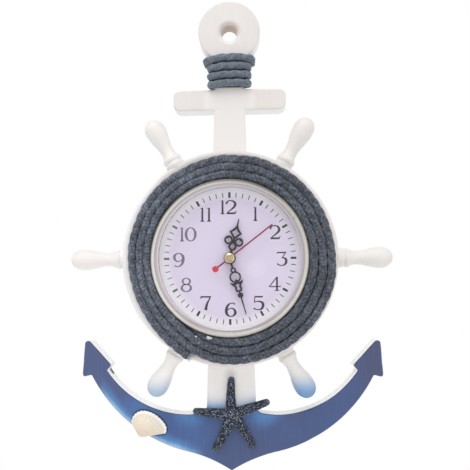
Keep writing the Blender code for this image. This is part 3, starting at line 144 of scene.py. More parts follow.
class Nodes:
    """The nodes of a world or of a material."""

    def __init__(self, tree):
        self.tree = tree

    def node(self, kind, settings=None, values=(), **inputs):
        """A new node with its settings, and its inputs fed in their order and by their names."""
        made = self.tree.nodes.new(kind)
        for key, value in (settings or {}).items():
            setattr(made, key, value)
        for socket, value in zip(made.inputs, values):
            self.feed(socket, value)
        for key, value in inputs.items():
            self.feed(made.inputs[key.replace("_", " ")], value)
        return made

    def feed(self, socket, value):
        """Takes a value, a socket or a plain setting. A colour of three numbers is an 8-bit one."""
        if isinstance(value, Value):
            value = value.socket
        if isinstance(value, bpy.types.NodeSocket):
            self.tree.links.new(value, socket)
        elif socket.type == "RGBA" and len(value) == 3:
            socket.default_value = srgb(*value)
        else:
            socket.default_value = value

    def math(self, operation, one, two=0.0):
        return Value(self, self.node("ShaderNodeMath", {"operation": operation}, (one, two)).outputs[0])

    def blend(self, share, one, two):
        """Shows the first shader, and in its place a share of the second."""
        mixed = self.node("ShaderNodeMixShader", None, (share, one.outputs[0], two.outputs[0]))
        out = next(node for node in self.tree.nodes if node.type.startswith("OUTPUT"))
        self.feed(out.inputs["Surface"], mixed.outputs[0])


class Graph(Nodes):
    """A material's nodes, and the colour that its coats have come to so far."""

    def __init__(self, name, roughness, metallic=0.0, **others):
        self.material = bpy.data.materials.new(name)
        self.material.use_nodes = True
        super().__init__(self.material.node_tree)
        self.shader = self.tree.nodes["Principled BSDF"]
        for socket, value in {"Roughness": roughness, "Metallic": metallic, **others}.items():
            self.set(socket.replace("_", " "), value)
        self.place = self.node("ShaderNodeTexCoord").outputs["Object"]
        self.x, self.y, self.z = self.split(self.place)

    def set(self, socket, value):
        self.feed(self.shader.inputs[socket], value)

    def split(self, vector):
        return [Value(self, out) for out in self.node("ShaderNodeSeparateXYZ", Vector=vector).outputs]

    def vector(self, x, y, z):
        return self.node("ShaderNodeCombineXYZ", None, (x, y, z)).outputs[0]

    def distance(self, x, z, flat=1.0):
        """From a line through x and z that runs front to back. Its height counts by the share flat."""
        across, up = self.x - x, (self.z - z) * flat
        return self.math("SQRT", across * across + up * up)

    def stretched(self, x, y, z):
        factors = (self.place, (x, y, z))
        return self.node("ShaderNodeVectorMath", {"operation": "MULTIPLY"}, factors).outputs[0]

    def noise(self, scale, detail=3.0, place=None, roughness=0.5):
        made = self.node(
            "ShaderNodeTexNoise", Scale=scale, Detail=detail, Roughness=roughness,
            Vector=place or self.place,
        )
        return Value(self, made.outputs["Fac"])

    def attribute(self, name):
        return Value(self, self.node("ShaderNodeAttribute", {"attribute_name": name}).outputs["Fac"])

    def outward(self, axis):
        """How far the surface faces along X, Y or Z."""
        return self.split(self.node("ShaderNodeNewGeometry").outputs["Normal"])[axis]

    def mix(self, share, one, two, blend="MIX"):
        made = self.node("ShaderNodeMix", {"data_type": "RGBA", "blend_type": blend})
        for socket, value in zip((made.inputs[0], made.inputs[6], made.inputs[7]), (share, one, two)):
            self.feed(socket, value)
        return made.outputs[2]

    def coat(self, share, colour):
        """Covers a share of the colour so far."""
        self.colour = self.mix(share, self.colour, colour)

    def dim(self, grey):
        """Multiplies the colour so far."""
        self.colour = self.mix(1.0, self.colour, self.vector(grey, grey, grey), "MULTIPLY")

    def shade(self, value, low, high):
        """Multiplies the colour so far by a grey between low and high."""
        self.dim(value.ease(0.25, 0.75, low, high))

    def done(self, height, depth, strength):
        """The material in its colour, with its surface raised by up to depth, in metres."""
        self.set("Base Color", self.colour)
        made = self.node("ShaderNodeBump", Height=height, Distance=depth, Strength=strength)
        self.set("Normal", made.outputs[0])
        return self.material


def white_paint(graph):
    """Slightly uneven white with soft brush marks."""
    marks = graph.noise(60.0, 3.0, graph.stretched(6.0, 6.0, 1.0))
    graph.colour = graph.mix(graph.noise(22.0, 2.0).ease(0.35, 0.65), (243, 237, 234), (240, 232, 227))
    graph.shade(marks, 0.965, 1.0)


def shell_painted_shade(graph):
    """Painted shade: the dark line round the shell's margin."""
    half_fan, full = SHELL_FAN / 2, 25.0 * MM
    across, up = graph.x - SHELL_HINGE[0], graph.z - SHELL_HINGE[1]
    turn = 90.0 - SHELL_TURN - graph.math("DEGREES", graph.math("ARCTAN2", up, across))
    curve = graph.node("ShaderNodeFloatCurve")
    points = curve.mapping.curves[0].points
    spots = [((degrees + half_fan) / SHELL_FAN, reach * MM / full) for degrees, reach in SHELL_REACHES]
    points[0].location, points[-1].location = spots[0], spots[-1]
    for spot in spots[1:-1]:
        points.new(*spot)
    curve.mapping.update()
    graph.feed(curve.inputs["Value"], (turn + half_fan) * (1.0 / SHELL_FAN))
    past = graph.distance(*SHELL_HINGE) - Value(graph, curve.outputs[0]) * full
    inside = turn.ease(-64.0, -58.0) * turn.ease(64.0, 58.0)
    return past.ease(0.0013, 0.0005) * inside * (-graph.outward(1)).ease(0.6, 0.9)


# The circle of the left arm's outer edge
LEFT_ARM_MIDDLE, LEFT_ARM_RADIUS = (-8.5 * MM, -152.7 * MM), 104.4 * MM


def blue_paint(graph, far, wobble, forward, upward):
    """Navy, with a lighter blue on the left arm's outer edge, round the shank's foot and on the crown."""
    x, z = graph.x, graph.z
    left = x.ease(-0.025, 0.0, 1.0, 0.0)
    from_edge = LEFT_ARM_RADIUS - graph.distance(*LEFT_ARM_MIDDLE)
    along = x.ease(-0.098, -0.086) * x.ease(-0.018, -0.040) * left
    edge_light = (from_edge + wobble * 0.6).ease(0.0095, 0.0015) * along * 0.95
    foot = (graph.distance(0.023, -0.2225) + wobble).ease(0.018, 0.003) * 0.85
    foot_left = (graph.distance(-0.030, -0.2245) + wobble).ease(0.017, 0.004) * 0.45
    thinly = (graph.distance(-0.070, -0.226) + wobble).ease(0.018, 0.004) * 0.25
    sheen = graph.noise(24.0, 2.0).ease(0.52, 0.75) * 0.22 * left
    light = highest(edge_light, foot, foot_left, 1.0 - far.ease(0.1055, 0.1175), sheen, thinly)
    fluke = (abs(x) + z * 0.25).ease(0.030, 0.052) * (1.0 - left)
    crown = z.ease(-0.238, -0.256) * x.ease(-0.022, -0.004) * 0.4
    end = x.ease(-0.066, -0.088)
    graph.colour = graph.mix(left * (1.0 - end), (68, 87, 133), (68, 95, 149))
    graph.coat(highest(fluke, crown), (72, 80, 116))
    graph.coat(end * 0.8, (80, 92, 133))
    graph.coat(light, (86, 146, 206))
    graph.coat((from_edge + wobble * 0.4).ease(0.0042, 0.0008) * along * 0.65, (184, 208, 224))
    graph.shade(graph.noise(110.0, 4.0, graph.stretched(7.0, 1.0, 0.7)), 0.93, 1.06)
    # The paint is thickest where it runs over the edges that face up, and rubbed on the others.
    edge, rising = forward.ease(0.96, 0.70), upward.ease(0.05, 0.30)
    graph.coat(edge * rising * 0.75, (44, 62, 92))
    worn = graph.noise(150.0, 5.0).ease(0.50, 0.66) * edge * (1.0 - rising)
    graph.coat(worn * 0.60, (178, 200, 222))
    # Painted shade round the shell's margin
    graph.coat(shell_painted_shade(graph) * 0.8, (34, 40, 62))


def hole_paint(graph, forward, upward):
    """Bare brown wood on the hanging hole's wall, and painted shade: the wood shows only where the wall faces
    down, and the lip above it is darker.
    """
    from_hole, shade_facing_down = graph.distance(0.0, HOLE_UP), upward.ease(0.35, -0.45)
    wood = graph.mix(graph.noise(300.0, 4.0), (176, 154, 138), (214, 196, 182))
    # Painted shade where the lip and the wall face down
    graph.coat(from_hole.ease(0.0100, 0.0064) * shade_facing_down * 0.6, (208, 192, 184))
    graph.coat(from_hole.ease(0.0068, 0.0058) * forward.ease(0.75, 0.2) * shade_facing_down * 0.9, wood)


def anchor_paint():
    graph = Graph("anchor_paint", 0.42)
    x, y, z = graph.x, graph.y, graph.z
    forward, upward = -graph.outward(1), graph.outward(2)
    white_paint(graph)
    # Painted light: the stock's middle and the shank are a lighter white, more so lower down.
    shank_painted_light = abs(x).ease(0.021, 0.016) * z.ease(0.008, 0.002)
    graph.coat(shank_painted_light * z.ease(-0.04, -0.18, 0.5, 0.9), (255, 251, 248))
    # Painted shadow round the starfish's upper tip.
    graph.coat(graph.distance(-0.0006, -0.1990).ease(0.0065, 0.0010) * 0.6, (206, 201, 199))
    # Painted light: the sides are a brighter white than the front.
    white_with_lit_sides = graph.mix(forward.ease(0.75, 0.4), graph.colour, (252, 252, 250))
    # The blue is sprayed on the front and runs a little over its rounded edge.
    wobble = (graph.noise(90.0, 3.0) - 0.5) * 0.006
    far = graph.distance(0.0, DIAL_UP) + wobble
    facing, sprayed = (forward + wobble * 40.0).ease(0.18, 0.62), far.ease(0.0930, 0.1125)
    blue = sprayed * sprayed.ease(0.0, 0.9, 0.35, 1.0) * facing * z.ease(-0.16, -0.165)
    blue_paint(graph, far, wobble, forward, upward)
    graph.colour = graph.mix(blue, white_with_lit_sides, graph.colour)
    # The back has one thin coat, so that the fibreboard shows through a little.
    thin = graph.noise(34.0, 5.0, graph.stretched(3.0, 1.0, 1.0)).ease(0.35, 0.7)
    graph.coat(graph.outward(1).ease(0.5, 0.8), graph.mix(thin, (214, 207, 198), (228, 222, 214)))
    # A drop of blue that fell on the left fluke's inner wall
    drop = (graph.distance(-0.0885, -0.1974, 0.6) + wobble * 0.2).ease(0.0020, 0.0013)
    graph.coat(drop * y.ease(-0.0060, -0.0045), (44, 62, 72))
    hole_paint(graph, forward, upward)
    # Painted shade: the neck is dark under its rope.
    graph.coat(z.ease(0.0084, 0.0092) * z.ease(0.0326, 0.0316) * 0.9, (44, 52, 66))
    graph.set("Roughness", blue.ease(0.0, 1.0, 0.46, 0.34))
    grain = graph.noise(60.0, 4.0, graph.stretched(9.0, 9.0, 1.0)) + graph.noise(500.0, 2.0) * 0.35
    return graph.done(grain, 0.00007, 0.5)


def wheel_paint():
    graph = Graph("wheel_paint", 0.44)
    x, z, far = graph.x, graph.z, graph.distance(0.0, DIAL_UP)
    handles, rim = far.ease(0.0772, 0.0780), far.ease(0.0775, 0.0768)
    white_paint(graph)
    # Painted light: the handles are a paler white, palest on the left.
    graph.coat(handles * 0.7, graph.mix(x.ease(-0.03, 0.06), (254, 249, 246), (241, 236, 231)))
    # Painted shade on the rim's top, and painted light on its left.
    graph.coat(rim * z.ease(-0.07, -0.045) * 0.9, (222, 217, 213))
    graph.coat(rim * x.ease(-0.045, -0.058) * 0.8, (254, 251, 250))
    # Painted shade: the handles are duller where they face up.
    graph.coat(handles * graph.outward(2).ease(0.10, 0.75) * 0.65, (226, 221, 217))
    # The lower handles' ends are sprayed with the anchor's blue.
    wobble = (graph.noise(80.0, 3.0) - 0.5) * 0.006
    right = x.ease(-0.01, 0.01)
    sprayed = (z + wobble * 0.5 - right * 0.002).ease(-0.1945, -0.2130)
    graph.coat(sprayed * (right * 0.10 + 0.86), graph.mix(right, (158, 188, 216), (110, 156, 206)))
    # Painted shade: the face is dark under the rope.
    under = (far + wobble * 0.1).ease(0.0690, 0.0684)
    graph.coat(under * (-graph.outward(1)).ease(0.9, 0.97), (62, 68, 80))
    graph.coat(graph.outward(1).ease(0.5, 0.8) * 0.7, (222, 216, 208))
    graph.coat(graph.noise(45.0, 4.0).ease(0.55, 0.8) * 0.10, (206, 196, 186))
    return graph.done(graph.noise(35.0, 2.0) + graph.noise(420.0, 3.0) * 0.25, 0.00016, 0.6)


def rope_yarn():
    """Cotton strands: fine fibres that run along each strand, dusty, and with painted light that makes the
    rope paler on the left and on the neck.
    """
    graph = Graph("slate_rope", 0.92, Sheen_Weight=0.25, Sheen_Roughness=0.6, Specular_IOR_Level=0.2)
    along, around, strand = (graph.attribute(name) for name in ROPE_LAYERS)
    yarns = graph.vector(along * 300.0, around * 5.0 + along * 260.0, strand * 13.7)
    hairs = graph.vector(along * 900.0, around * 46.0 + along * 500.0, strand * 5.1)
    fibres, fine = graph.noise(1.0, 5.0, yarns, 0.7), graph.noise(1.0, 4.0, hairs, 0.7)
    specks = graph.noise(480.0, 3.0, roughness=0.7)
    twist = graph.math("SINE", along * (math.tau / YARN_LAY) + around * 2.6 + fibres * 2.0) * 0.25 + 0.5
    graph.colour = graph.mix(graph.noise(70.0, 3.0).ease(0.3, 0.7), (76, 81, 92), (93, 99, 111))
    graph.shade(fibres.ease(0.36, 0.64, 0.25, 0.75), 0.62, 1.40)
    graph.shade(specks.ease(0.36, 0.64, 0.25, 0.75), 0.74, 1.27)
    graph.shade(twist, 0.80, 1.20)
    # Lint and dusky spots
    graph.coat(fine.ease(0.56, 0.74) * specks.ease(0.45, 0.6) * 0.75, (150, 158, 172))
    graph.coat(graph.noise(160.0, 2.0).ease(0.58, 0.7) * 0.30, (84, 76, 92))
    # Painted light on the left, and painted shade on the right and at the lower left.
    low_left_shade = graph.z.ease(DIAL_UP - 0.020, DIAL_UP - 0.055) * graph.x.ease(0.015, -0.015)
    graph.dim(graph.x.ease(0.030, -0.066, 0.93, 1.30) - low_left_shade * 0.20)
    # Painted light: the rope on the neck is the paler.
    graph.coat(graph.z.ease(0.0, 0.008) * 0.30, (150, 164, 178))
    return graph.done(fibres + fine * 0.5 + specks + twist * 0.5, 0.00035, 0.9)


def star_grit():
    graph = Graph("star_grit", 0.72)
    peak, speck, far = graph.attribute("peak"), graph.noise(1500.0, 2.0), graph.distance(*STAR_SPOT)
    graph.colour = graph.mix(peak.ease(0.05, 0.6), (18, 22, 38), (50, 60, 80))
    light = peak.ease(0.26, 0.58) * speck.ease(0.40, 0.54)
    graph.coat(light * far.ease(0.015, 0.006, 0.72, 1.0), (176, 186, 204))
    graph.coat(far.ease(0.023, 0.029) * 0.30, (120, 136, 148))
    return graph.done(speck, 0.0002, 0.7)


def shell_cream():
    graph = Graph("shell_cream", 0.38, Coat_Weight=0.15)
    out, rib = graph.attribute("out"), graph.attribute("rib")
    bands = graph.noise(1.0, 3.0, graph.vector(out * 14.0, rib * 0.6, 0.0))
    graph.colour = graph.mix(out.ease(0.15, 0.9), (240, 218, 198), (238, 228, 210))
    graph.coat(bands.ease(0.45, 0.7) * 0.35, (238, 208, 190))
    graph.coat(rib.ease(0.8, -0.8) * 0.14, (220, 206, 186))
    graph.coat(out.ease(0.90, 0.95), (252, 250, 246))
    return graph.done(bands + graph.noise(900.0, 3.0) * 0.4, 0.00012, 0.6)


def champagne():
    graph = Graph("champagne_metal", 0.45, 0.70)
    x, z, far = graph.x, graph.z, graph.distance(-0.0004, DIAL_UP - 0.0005)
    brushed = graph.noise(700.0, 3.0, graph.stretched(1.0, 0.12, 1.0))
    graph.colour = graph.mix(graph.noise(40.0, 2.0), (206, 202, 195), (222, 218, 211))
    graph.coat(graph.noise(320.0, 4.0).ease(0.62, 0.72) * 0.5, (176, 168, 148))
    # Painted shade: the outer side is dark, most of all at the upper left.
    graph.coat(far.ease(0.0531, 0.0546) * x.ease(0.020, 0.045, 0.8, 0.45), (112, 110, 98))
    upper_left = (z - x * 0.45).ease(DIAL_UP, DIAL_UP + 0.045)
    graph.coat(far.ease(0.0522, 0.0541) * upper_left * 0.8, (84, 84, 84))
    # Painted shade: the slope inside the crest is darker than the crest, and more so below.
    low = z.ease(DIAL_UP - 0.036, DIAL_UP - 0.048)
    graph.coat(far.ease(0.0523, 0.0513) * 0.85, graph.mix(low, (178, 169, 174), (150, 143, 149)))
    graph.coat(low * 0.4, (166, 160, 158))
    # Painted reflection of the dial on the slope's inner edge.
    graph.coat(graph.distance(0.0, DIAL_UP).ease(0.0504, 0.0495) * 0.8, (212, 204, 216))
    # Painted light on the left and painted shade on the right.
    graph.shade(x.ease(-0.035, 0.045, 0.75, 0.25), 0.92, 1.08)
    graph.set("Roughness", brushed.ease(0.3, 0.7, 0.38, 0.56))
    return graph.done(brushed, 0.00003, 0.4)


def dial_face():
    """Lilac white, with a margin painted whiter as painted light, less so on the right."""
    graph = Graph("dial_face", 0.45)
    graph.colour = graph.mix(graph.noise(18.0, 2.0), (229, 217, 239), (234, 222, 242))
    # Painted light: the margin is whiter, and less so on the right.
    margin = graph.mix(graph.x.ease(0.020, 0.044) * 0.6, (255, 249, 255), (232, 222, 242))
    graph.coat(graph.distance(0.0, DIAL_UP).ease(0.0395, 0.0465), margin)
    graph.shade(graph.noise(900.0, 3.0), 0.985, 1.01)
    return graph.done(graph.noise(1200.0, 2.0), 0.00002, 0.4)


def dial_ink():
    """Nearly black, but lighter on the left, from the 8 to the 10."""
    graph = Graph("dial_ink", 0.5)
    worn = graph.noise(400.0, 4.0)
    thin = graph.x.ease(-0.0215, -0.0235) * abs(graph.z - DIAL_UP).ease(0.0250, 0.0240)
    graph.colour = graph.mix(thin, (12, 3, 18), (112, 105, 117))
    graph.shade(worn, 0.85, 1.2)
    return graph.done(worn, 0.00002, 0.4)


def clear_lens():
    """Thin clear plastic: mostly see-through, with a gloss that grows towards its edge."""
    graph = Graph("clear_lens", 0.03)
    clear = graph.node("ShaderNodeBsdfTransparent", Color=(0.985, 0.985, 0.99, 1.0))
    smear = graph.noise(35.0, 3.0, graph.stretched(1.0, 1.0, 0.35)).ease(0.45, 0.8, 0.03, 0.16)
    gloss = graph.node("ShaderNodeBsdfGlossy", Color=(1.0, 1.0, 1.0, 1.0), Roughness=smear)
    fresnel = Value(graph, graph.node("ShaderNodeFresnel", IOR=1.42).outputs[0])
    path = graph.node("ShaderNodeLightPath").outputs
    unlit = graph.math("MAXIMUM", path["Is Shadow Ray"], path["Is Diffuse Ray"])
    graph.blend(fresnel * 0.8 * (1.0 - unlit), clear, gloss)
    graph.tree.nodes.remove(graph.shader)
    return graph.material


def second_red():
    """Dark along the blade, red on the round tail."""
    graph = Graph("red_hand", 0.34, Specular_IOR_Level=0.15)
    worn = graph.noise(500.0, 3.0)
    tail = graph.distance(-0.0098, DIAL_UP - 0.0076).ease(0.0025, 0.0022)
    graph.colour = graph.mix(tail, (142, 22, 64), (212, 50, 76))
    graph.shade(worn, 0.92, 1.08)
    return graph.done(worn, 0.00002, 0.4)


def boss_brass():
    """A painted highlight on the rim round a browner middle; the outer edge is darker."""
    graph = Graph("boss_brass", 0.26, 1.0)
    far, marks = graph.distance(0.0, DIAL_UP), graph.noise(900.0, 3.0)
    # Painted highlight: the rim is bright round the browner middle.
    graph.colour = graph.mix(far.ease(0.0022, 0.0026), (196, 168, 124), (246, 234, 196))
    graph.coat(far.ease(0.0033, 0.0037) * 0.6, (150, 128, 84))
    graph.shade(marks, 0.92, 1.04)
    return graph.done(marks, 0.00003, 0.5)


def battery_jacket():
    graph = Graph("battery_jacket", 0.32, Coat_Weight=0.3)
    graph.colour = graph.mix(graph.x.ease(0.0120, 0.0124), (44, 46, 54), (196, 148, 84))
    scuffs = graph.noise(120.0, 5.0, graph.stretched(4.0, 1.0, 1.0)).ease(0.6, 0.72)
    graph.coat(scuffs * 0.25, (150, 150, 154))
    return graph.done(graph.noise(900.0, 2.0), 0.00003, 0.5)


def plain(name, colour, second, roughness, metallic=0.0, depth=0.00004, gloss=0.5):
    """Plastic or metal with a fine grain, faint patches and rubbed spots."""
    graph = Graph(name, roughness, metallic, Specular_IOR_Level=gloss)
    patches = graph.noise(31.2, 3.0)
    graph.colour = graph.mix(patches.ease(0.35, 0.65), colour, second)
    rubbed = tuple(min(255, part + 26) for part in second)
    graph.coat(graph.noise(260.0, 4.0).ease(0.60, 0.72) * 0.2, rubbed)
    graph.set("Roughness", patches.ease(0.3, 0.7, roughness * 0.85, roughness * 1.15))
    return graph.done(graph.noise(1560.0, 2.0), depth, 0.6)


# Shapes

def placed(name, data):
    made = bpy.data.objects.new(name, data)
    bpy.context.scene.collection.objects.link(made)
    return made


def piece(name, shape, material, angle, node=None, like=None, closed=True):
    """A mesh as a shown piece, smooth except at edges sharper than the angle. It replaces the node,
    or goes with the node that it is like."""
    if closed:
        bmesh.ops.recalc_face_normals(shape, faces=shape.faces)
    for face in shape.faces:
        face.smooth = True
    mesh = bpy.data.meshes.new(name)
    shape.to_mesh(mesh)
    shape.free()
    mesh.set_sharp_from_angle(angle=math.radians(angle))
    mesh.materials.append(material)
    made = placed(name, mesh)
    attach(made, BODY_OF[node or like])
    if node:
        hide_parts(node)
    return made


def layered(*names):
    """A new shape whose vertices carry numbers for its material, and the layers of those numbers."""
    shape = bmesh.new()
    return shape, [shape.verts.layers.float.new(name) for name in names]


def marked(shape, spot, layers, numbers):
    """A new vertex that carries the numbers."""
    vert = shape.verts.new(spot)
    for layer, number in zip(layers, numbers):
        vert[layer] = number
    return vert


def strip(shape, rings, closed=True):
    """Faces between rings of vertices. A closed ring's last vertex joins its first."""
    for one, two in zip(rings, rings[1:]):
        count = len(one)
        for i in range(count if closed else count - 1):
            j = (i + 1) % count
            corners = []
            for vert in (one[i], one[j], two[j], two[i]):
                if vert not in corners:
                    corners.append(vert)
            if len(corners) > 2:
                shape.faces.new(corners)


def circle(x, y, radius, steps):
    turns = [math.tau * i / steps for i in range(steps)]
    return [(x + radius * math.cos(turn), y + radius * math.sin(turn)) for turn in turns]


def ring_at(shape, loop, out, matrix):
    return [shape.verts.new(matrix @ Vector((x, y, out))) for x, y in loop]


def lathe(shape, profile, steps, matrix=DIAL, closed=False):
    """Turns (radius, height) rows about the matrix's z axis. A radius of zero makes a point."""
    rings = []
    for radius, height in profile:
        if radius:
            rings.append(ring_at(shape, circle(0, 0, radius, steps), height, matrix))
        else:
            rings.append(ring_at(shape, [(0, 0)], height, matrix) * steps)
    if closed:
        rings.append(rings[0])
    strip(shape, rings)


def arc(centre, radius, first, last, steps):
    made = []
    for i in range(steps + 1):
        turn = math.radians(first + (last - first) * i / steps)
        made.append((centre[0] + radius * math.cos(turn), centre[1] + radius * math.sin(turn)))
    return made


def swept(middle, first, sweep, steps):
    """Where an arm from the middle, first as given, points to as it turns through the sweep."""
    made = []
    for i in range(steps + 1):
        turn = sweep * i / steps
        made.append((
            middle.x + first.x * math.cos(turn) - first.y * math.sin(turn),
            middle.y + first.x * math.sin(turn) + first.y * math.cos(turn),
        ))
    return made


def bow(start, end, sagitta, steps):
    """An arc that bulges to the right of the way from start to end, or to the left if negative."""
    start, end = Vector(start), Vector(end)
    along = end - start
    side = Vector((along.y, -along.x)).normalized()
    half = along.length / 2
    radius = (half * half + sagitta * sagitta) / (2 * abs(sagitta))
    centre = (start + end) / 2 + side * (sagitta - math.copysign(radius, sagitta))
    sweep = 2 * math.asin(min(1.0, half / radius)) * math.copysign(1, sagitta)
    return swept(centre, start - centre, sweep, steps)


def fillets(*corners):
    """Rounded corners, from rows of the point before, the corner, the point after, the radius in
    millimetres and the steps."""
    made = []
    for before, corner, after, radius, steps in corners:
        corner = Vector(corner)
        back, on = Vector(before) - corner, Vector(after) - corner
        half = back.angle(on) / 2
        reach = min(radius * MM / math.tan(half), back.length * 0.95, on.length * 0.95)
        start, end = corner + back.normalized() * reach, corner + on.normalized() * reach
        inwards = (back.normalized() + on.normalized()).normalized()
        middle = corner + inwards * reach * math.tan(half) / math.sin(half)
        first = start - middle
        made += swept(middle, first, -first.angle_signed(end - middle), steps)
    return made


def inset(loop, width):
    """The loop moved inwards by the width. It runs clockwise."""
    made = []
    count = len(loop)
    for i, point in enumerate(loop):
        before, here, after = Vector(loop[i - 1]), Vector(point), Vector(loop[(i + 1) % count])
        one, two = (here - before).normalized(), (after - here).normalized()
        middle = (one + two).normalized()
        spread = max(0.35, middle.dot(one))
        made.append((here.x + middle.y * width / spread, here.y - middle.x * width / spread))
    return made


def smooth_curve(points, steps):
    """A smooth curve through the points, in so many steps from each to the next."""
    points = [Vector(point) for point in points]
    made = []
    for i in range(len(points) - 1):
        before, one, two, after = (points[min(max(j, 0), len(points) - 1)] for j in range(i - 1, i + 3))
        for j in range(steps):
            t = j / steps
            made.append(0.5 * (
                2 * one + (two - before) * t + (2 * before - 5 * one + 4 * two - after) * t * t
                + (3 * one - before - 3 * two + after) * t**3
            ))
    return [*made, points[-1]]


def between(rows, value):
    """Straight between the rows of a table."""
    for (low, first), (high, last) in zip(rows, rows[1:]):
        if value <= high:
            break
    return first + (last - first) * min(1.0, (value - low) / (high - low))


def cap(shape, rings, outward):
    """Fills between an outer ring and the holes in it. outward is the way that the cap faces."""
    verts = [vert for ring in rings for vert in ring]
    for corners in tessellate_polygon([[vert.co for vert in ring] for ring in rings]):
        face = shape.faces.new([verts[i] for i in corners])
        face.normal_update()
        if face.normal.dot(outward) < 0:
            face.normal_flip()


def quarter_round(radius, steps):
    """Pairs of how far a rounded edge lies in from its one face and from its other."""
    turns = [math.pi / 2 * i / steps for i in range(steps + 1)]
    return [(radius * (1 - math.sin(turn)), radius * (1 - math.cos(turn))) for turn in turns]


def hand_sanded(shape, size, scale):
    """Moves the vertices a little, so that no edge is quite true, and none out of the CAD's box."""
    for vert in shape.verts:
        shift = noise.noise_vector(vert.co * scale)
        vert.co.x += shift.x * size
        vert.co.z += shift.z * size
        for i in range(3):
            vert.co[i] = min(max(vert.co[i], cad_box[0][i]), cad_box[1][i])


# Anchor board

HEAD_UP, HEAD_RADIUS = 50.1 * MM, 22.6 * MM
NECK_HALF, SHOULDER_HALF = 10.6 * MM, 13.5 * MM
STOCK_HALF, STOCK_UP = 41 * MM, 7.8 * MM
SHANK_TOP_HALF, SHANK_FOOT_HALF, SHANK_FOOT_UP = 11.2 * MM, 17.9 * MM, -228.6 * MM
BODY_RADIUS = 70 * MM
ARM_ROOT, ARM_IN_SAGITTA, ARM_OUT_SAGITTA = (17.9 * MM, -226.4 * MM), 12.0 * MM, -9.7 * MM
NOTCH_IN, BARB_IN = (90.2 * MM, -196.0 * MM), (86.8 * MM, -192.4 * MM)
TIP, BARB_OUT = (106.4 * MM, -170.9 * MM), (108.7 * MM, -201.2 * MM)
NOTCH_OUT, FLARE = (101.8 * MM, -199.5 * MM), (33.0 * MM, -254.2 * MM)
CROWN, FLARE_SAGITTA = (0, -268.0 * MM), 1.6 * MM
BACK_ROUND, FRONT_ROUND = 0.4 * MM, 1.4 * MM


def anchor_half():
    """The right side of the outline, clockwise from the top of the head to the crown."""
    shoulder = (SHOULDER_HALF, HEAD_UP - math.sqrt(HEAD_RADIUS**2 - SHOULDER_HALF**2))
    drop = (SHOULDER_HALF - NECK_HALF) * SHOULDER_HALF / (HEAD_UP - shoulder[1])
    upper, lower = (STOCK_HALF, STOCK_UP), (STOCK_HALF, -STOCK_UP)
    over, under = (NECK_HALF, STOCK_UP), (SHANK_TOP_HALF, -STOCK_UP)
    down_shank = (SHANK_TOP_HALF + 0.1 * MM, -20 * MM)
    points = arc(
        (0, HEAD_UP), HEAD_RADIUS, 90, math.degrees(math.atan2(shoulder[1] - HEAD_UP, shoulder[0])), 40
    )
    points += fillets(
        (shoulder, (NECK_HALF, shoulder[1] - drop), over, 5.5, 8),
        ((NECK_HALF, 2 * STOCK_UP), over, upper, 0.8, 3), (over, upper, lower, 5, 12),
        (upper, lower, under, 5, 12), (lower, under, down_shank, 0.8, 3),
    )
    widening = (SHANK_FOOT_HALF - SHANK_TOP_HALF) / (-STOCK_UP - SHANK_FOOT_UP)
    first, last = (
        math.degrees(math.acos((SHANK_TOP_HALF + widening * (-STOCK_UP - up)) / BODY_RADIUS))
        for up in (DIAL_UP + BODY_RADIUS, DIAL_UP - BODY_RADIUS)
    )
    points += arc((0, DIAL_UP), BODY_RADIUS, first, -last, 50)
    # The rounded root takes the place of the inner arc's first steps.
    inner = bow(ARM_ROOT, NOTCH_IN, ARM_IN_SAGITTA, 40)[6:-1]
    outer = bow(NOTCH_OUT, FLARE, ARM_OUT_SAGITTA, 44)[1:]
    points += fillets((points[-1], ARM_ROOT, inner[0], 6, 10))
    points += inner
    points += fillets(
        (inner[-1], NOTCH_IN, BARB_IN, 0.9, 4), (NOTCH_IN, BARB_IN, TIP, 1.8, 8),
        (BARB_IN, TIP, BARB_OUT, 2.6, 12), (TIP, BARB_OUT, NOTCH_OUT, 1.8, 10),
        (BARB_OUT, NOTCH_OUT, outer[0], 0.9, 4),
    )
    return points + outer + bow(FLARE, CROWN, FLARE_SAGITTA, 10)[1:]


def make_anchor():
    shape = bmesh.new()
    right = anchor_half()
    loop = right + [(-x, y) for x, y in reversed(right[1:-1])]
    rows = [(BACK_ROUND + GAP / 2, 0), (BACK_ROUND, 0)]
    rows += [(wide, high) for wide, high in quarter_round(BACK_ROUND, 3)[1:]]
    rows += [(wide, BOARD - low) for low, wide in quarter_round(FRONT_ROUND, 6)]
    rows += [(FRONT_ROUND + GAP / 2, BOARD)]
    walls = [ring_at(shape, inset(loop, width), out, FRONT) for width, out in rows]
    bore = [ring_at(shape, circle(0, DIAL_UP, BORE_RADIUS, 96), out, FRONT) for out in (BOARD, 0)]
    rows = [(HOLE_RADIUS + HOLE_LIP + GAP / 2, BOARD)]
    rows += [(HOLE_RADIUS + wide, BOARD - low) for wide, low in quarter_round(HOLE_LIP, 12)]
    rows += [(HOLE_RADIUS, 5 * MM), (HOLE_RADIUS, BACK_ROUND), (HOLE_RADIUS + BACK_ROUND, 0)]
    hole = [ring_at(shape, circle(0, HOLE_UP, radius, 48), out, FRONT) for radius, out in rows]
    for rings in (walls, bore, hole):
        strip(shape, rings)
    cap(shape, [walls[-1], bore[0], hole[0]], Vector((0, -1, 0)))
    cap(shape, [walls[0], bore[1], hole[-1]], Vector((0, 1, 0)))
    hand_sanded(shape, 0.12 * MM, 60.0)
    piece("anchor_painted", shape, anchor_paint(), 40, "anchor_board")


# Wheel

HANDLE_LENGTH, HANDLE_RADIUS = 37.6 * MM, 7.4 * MM
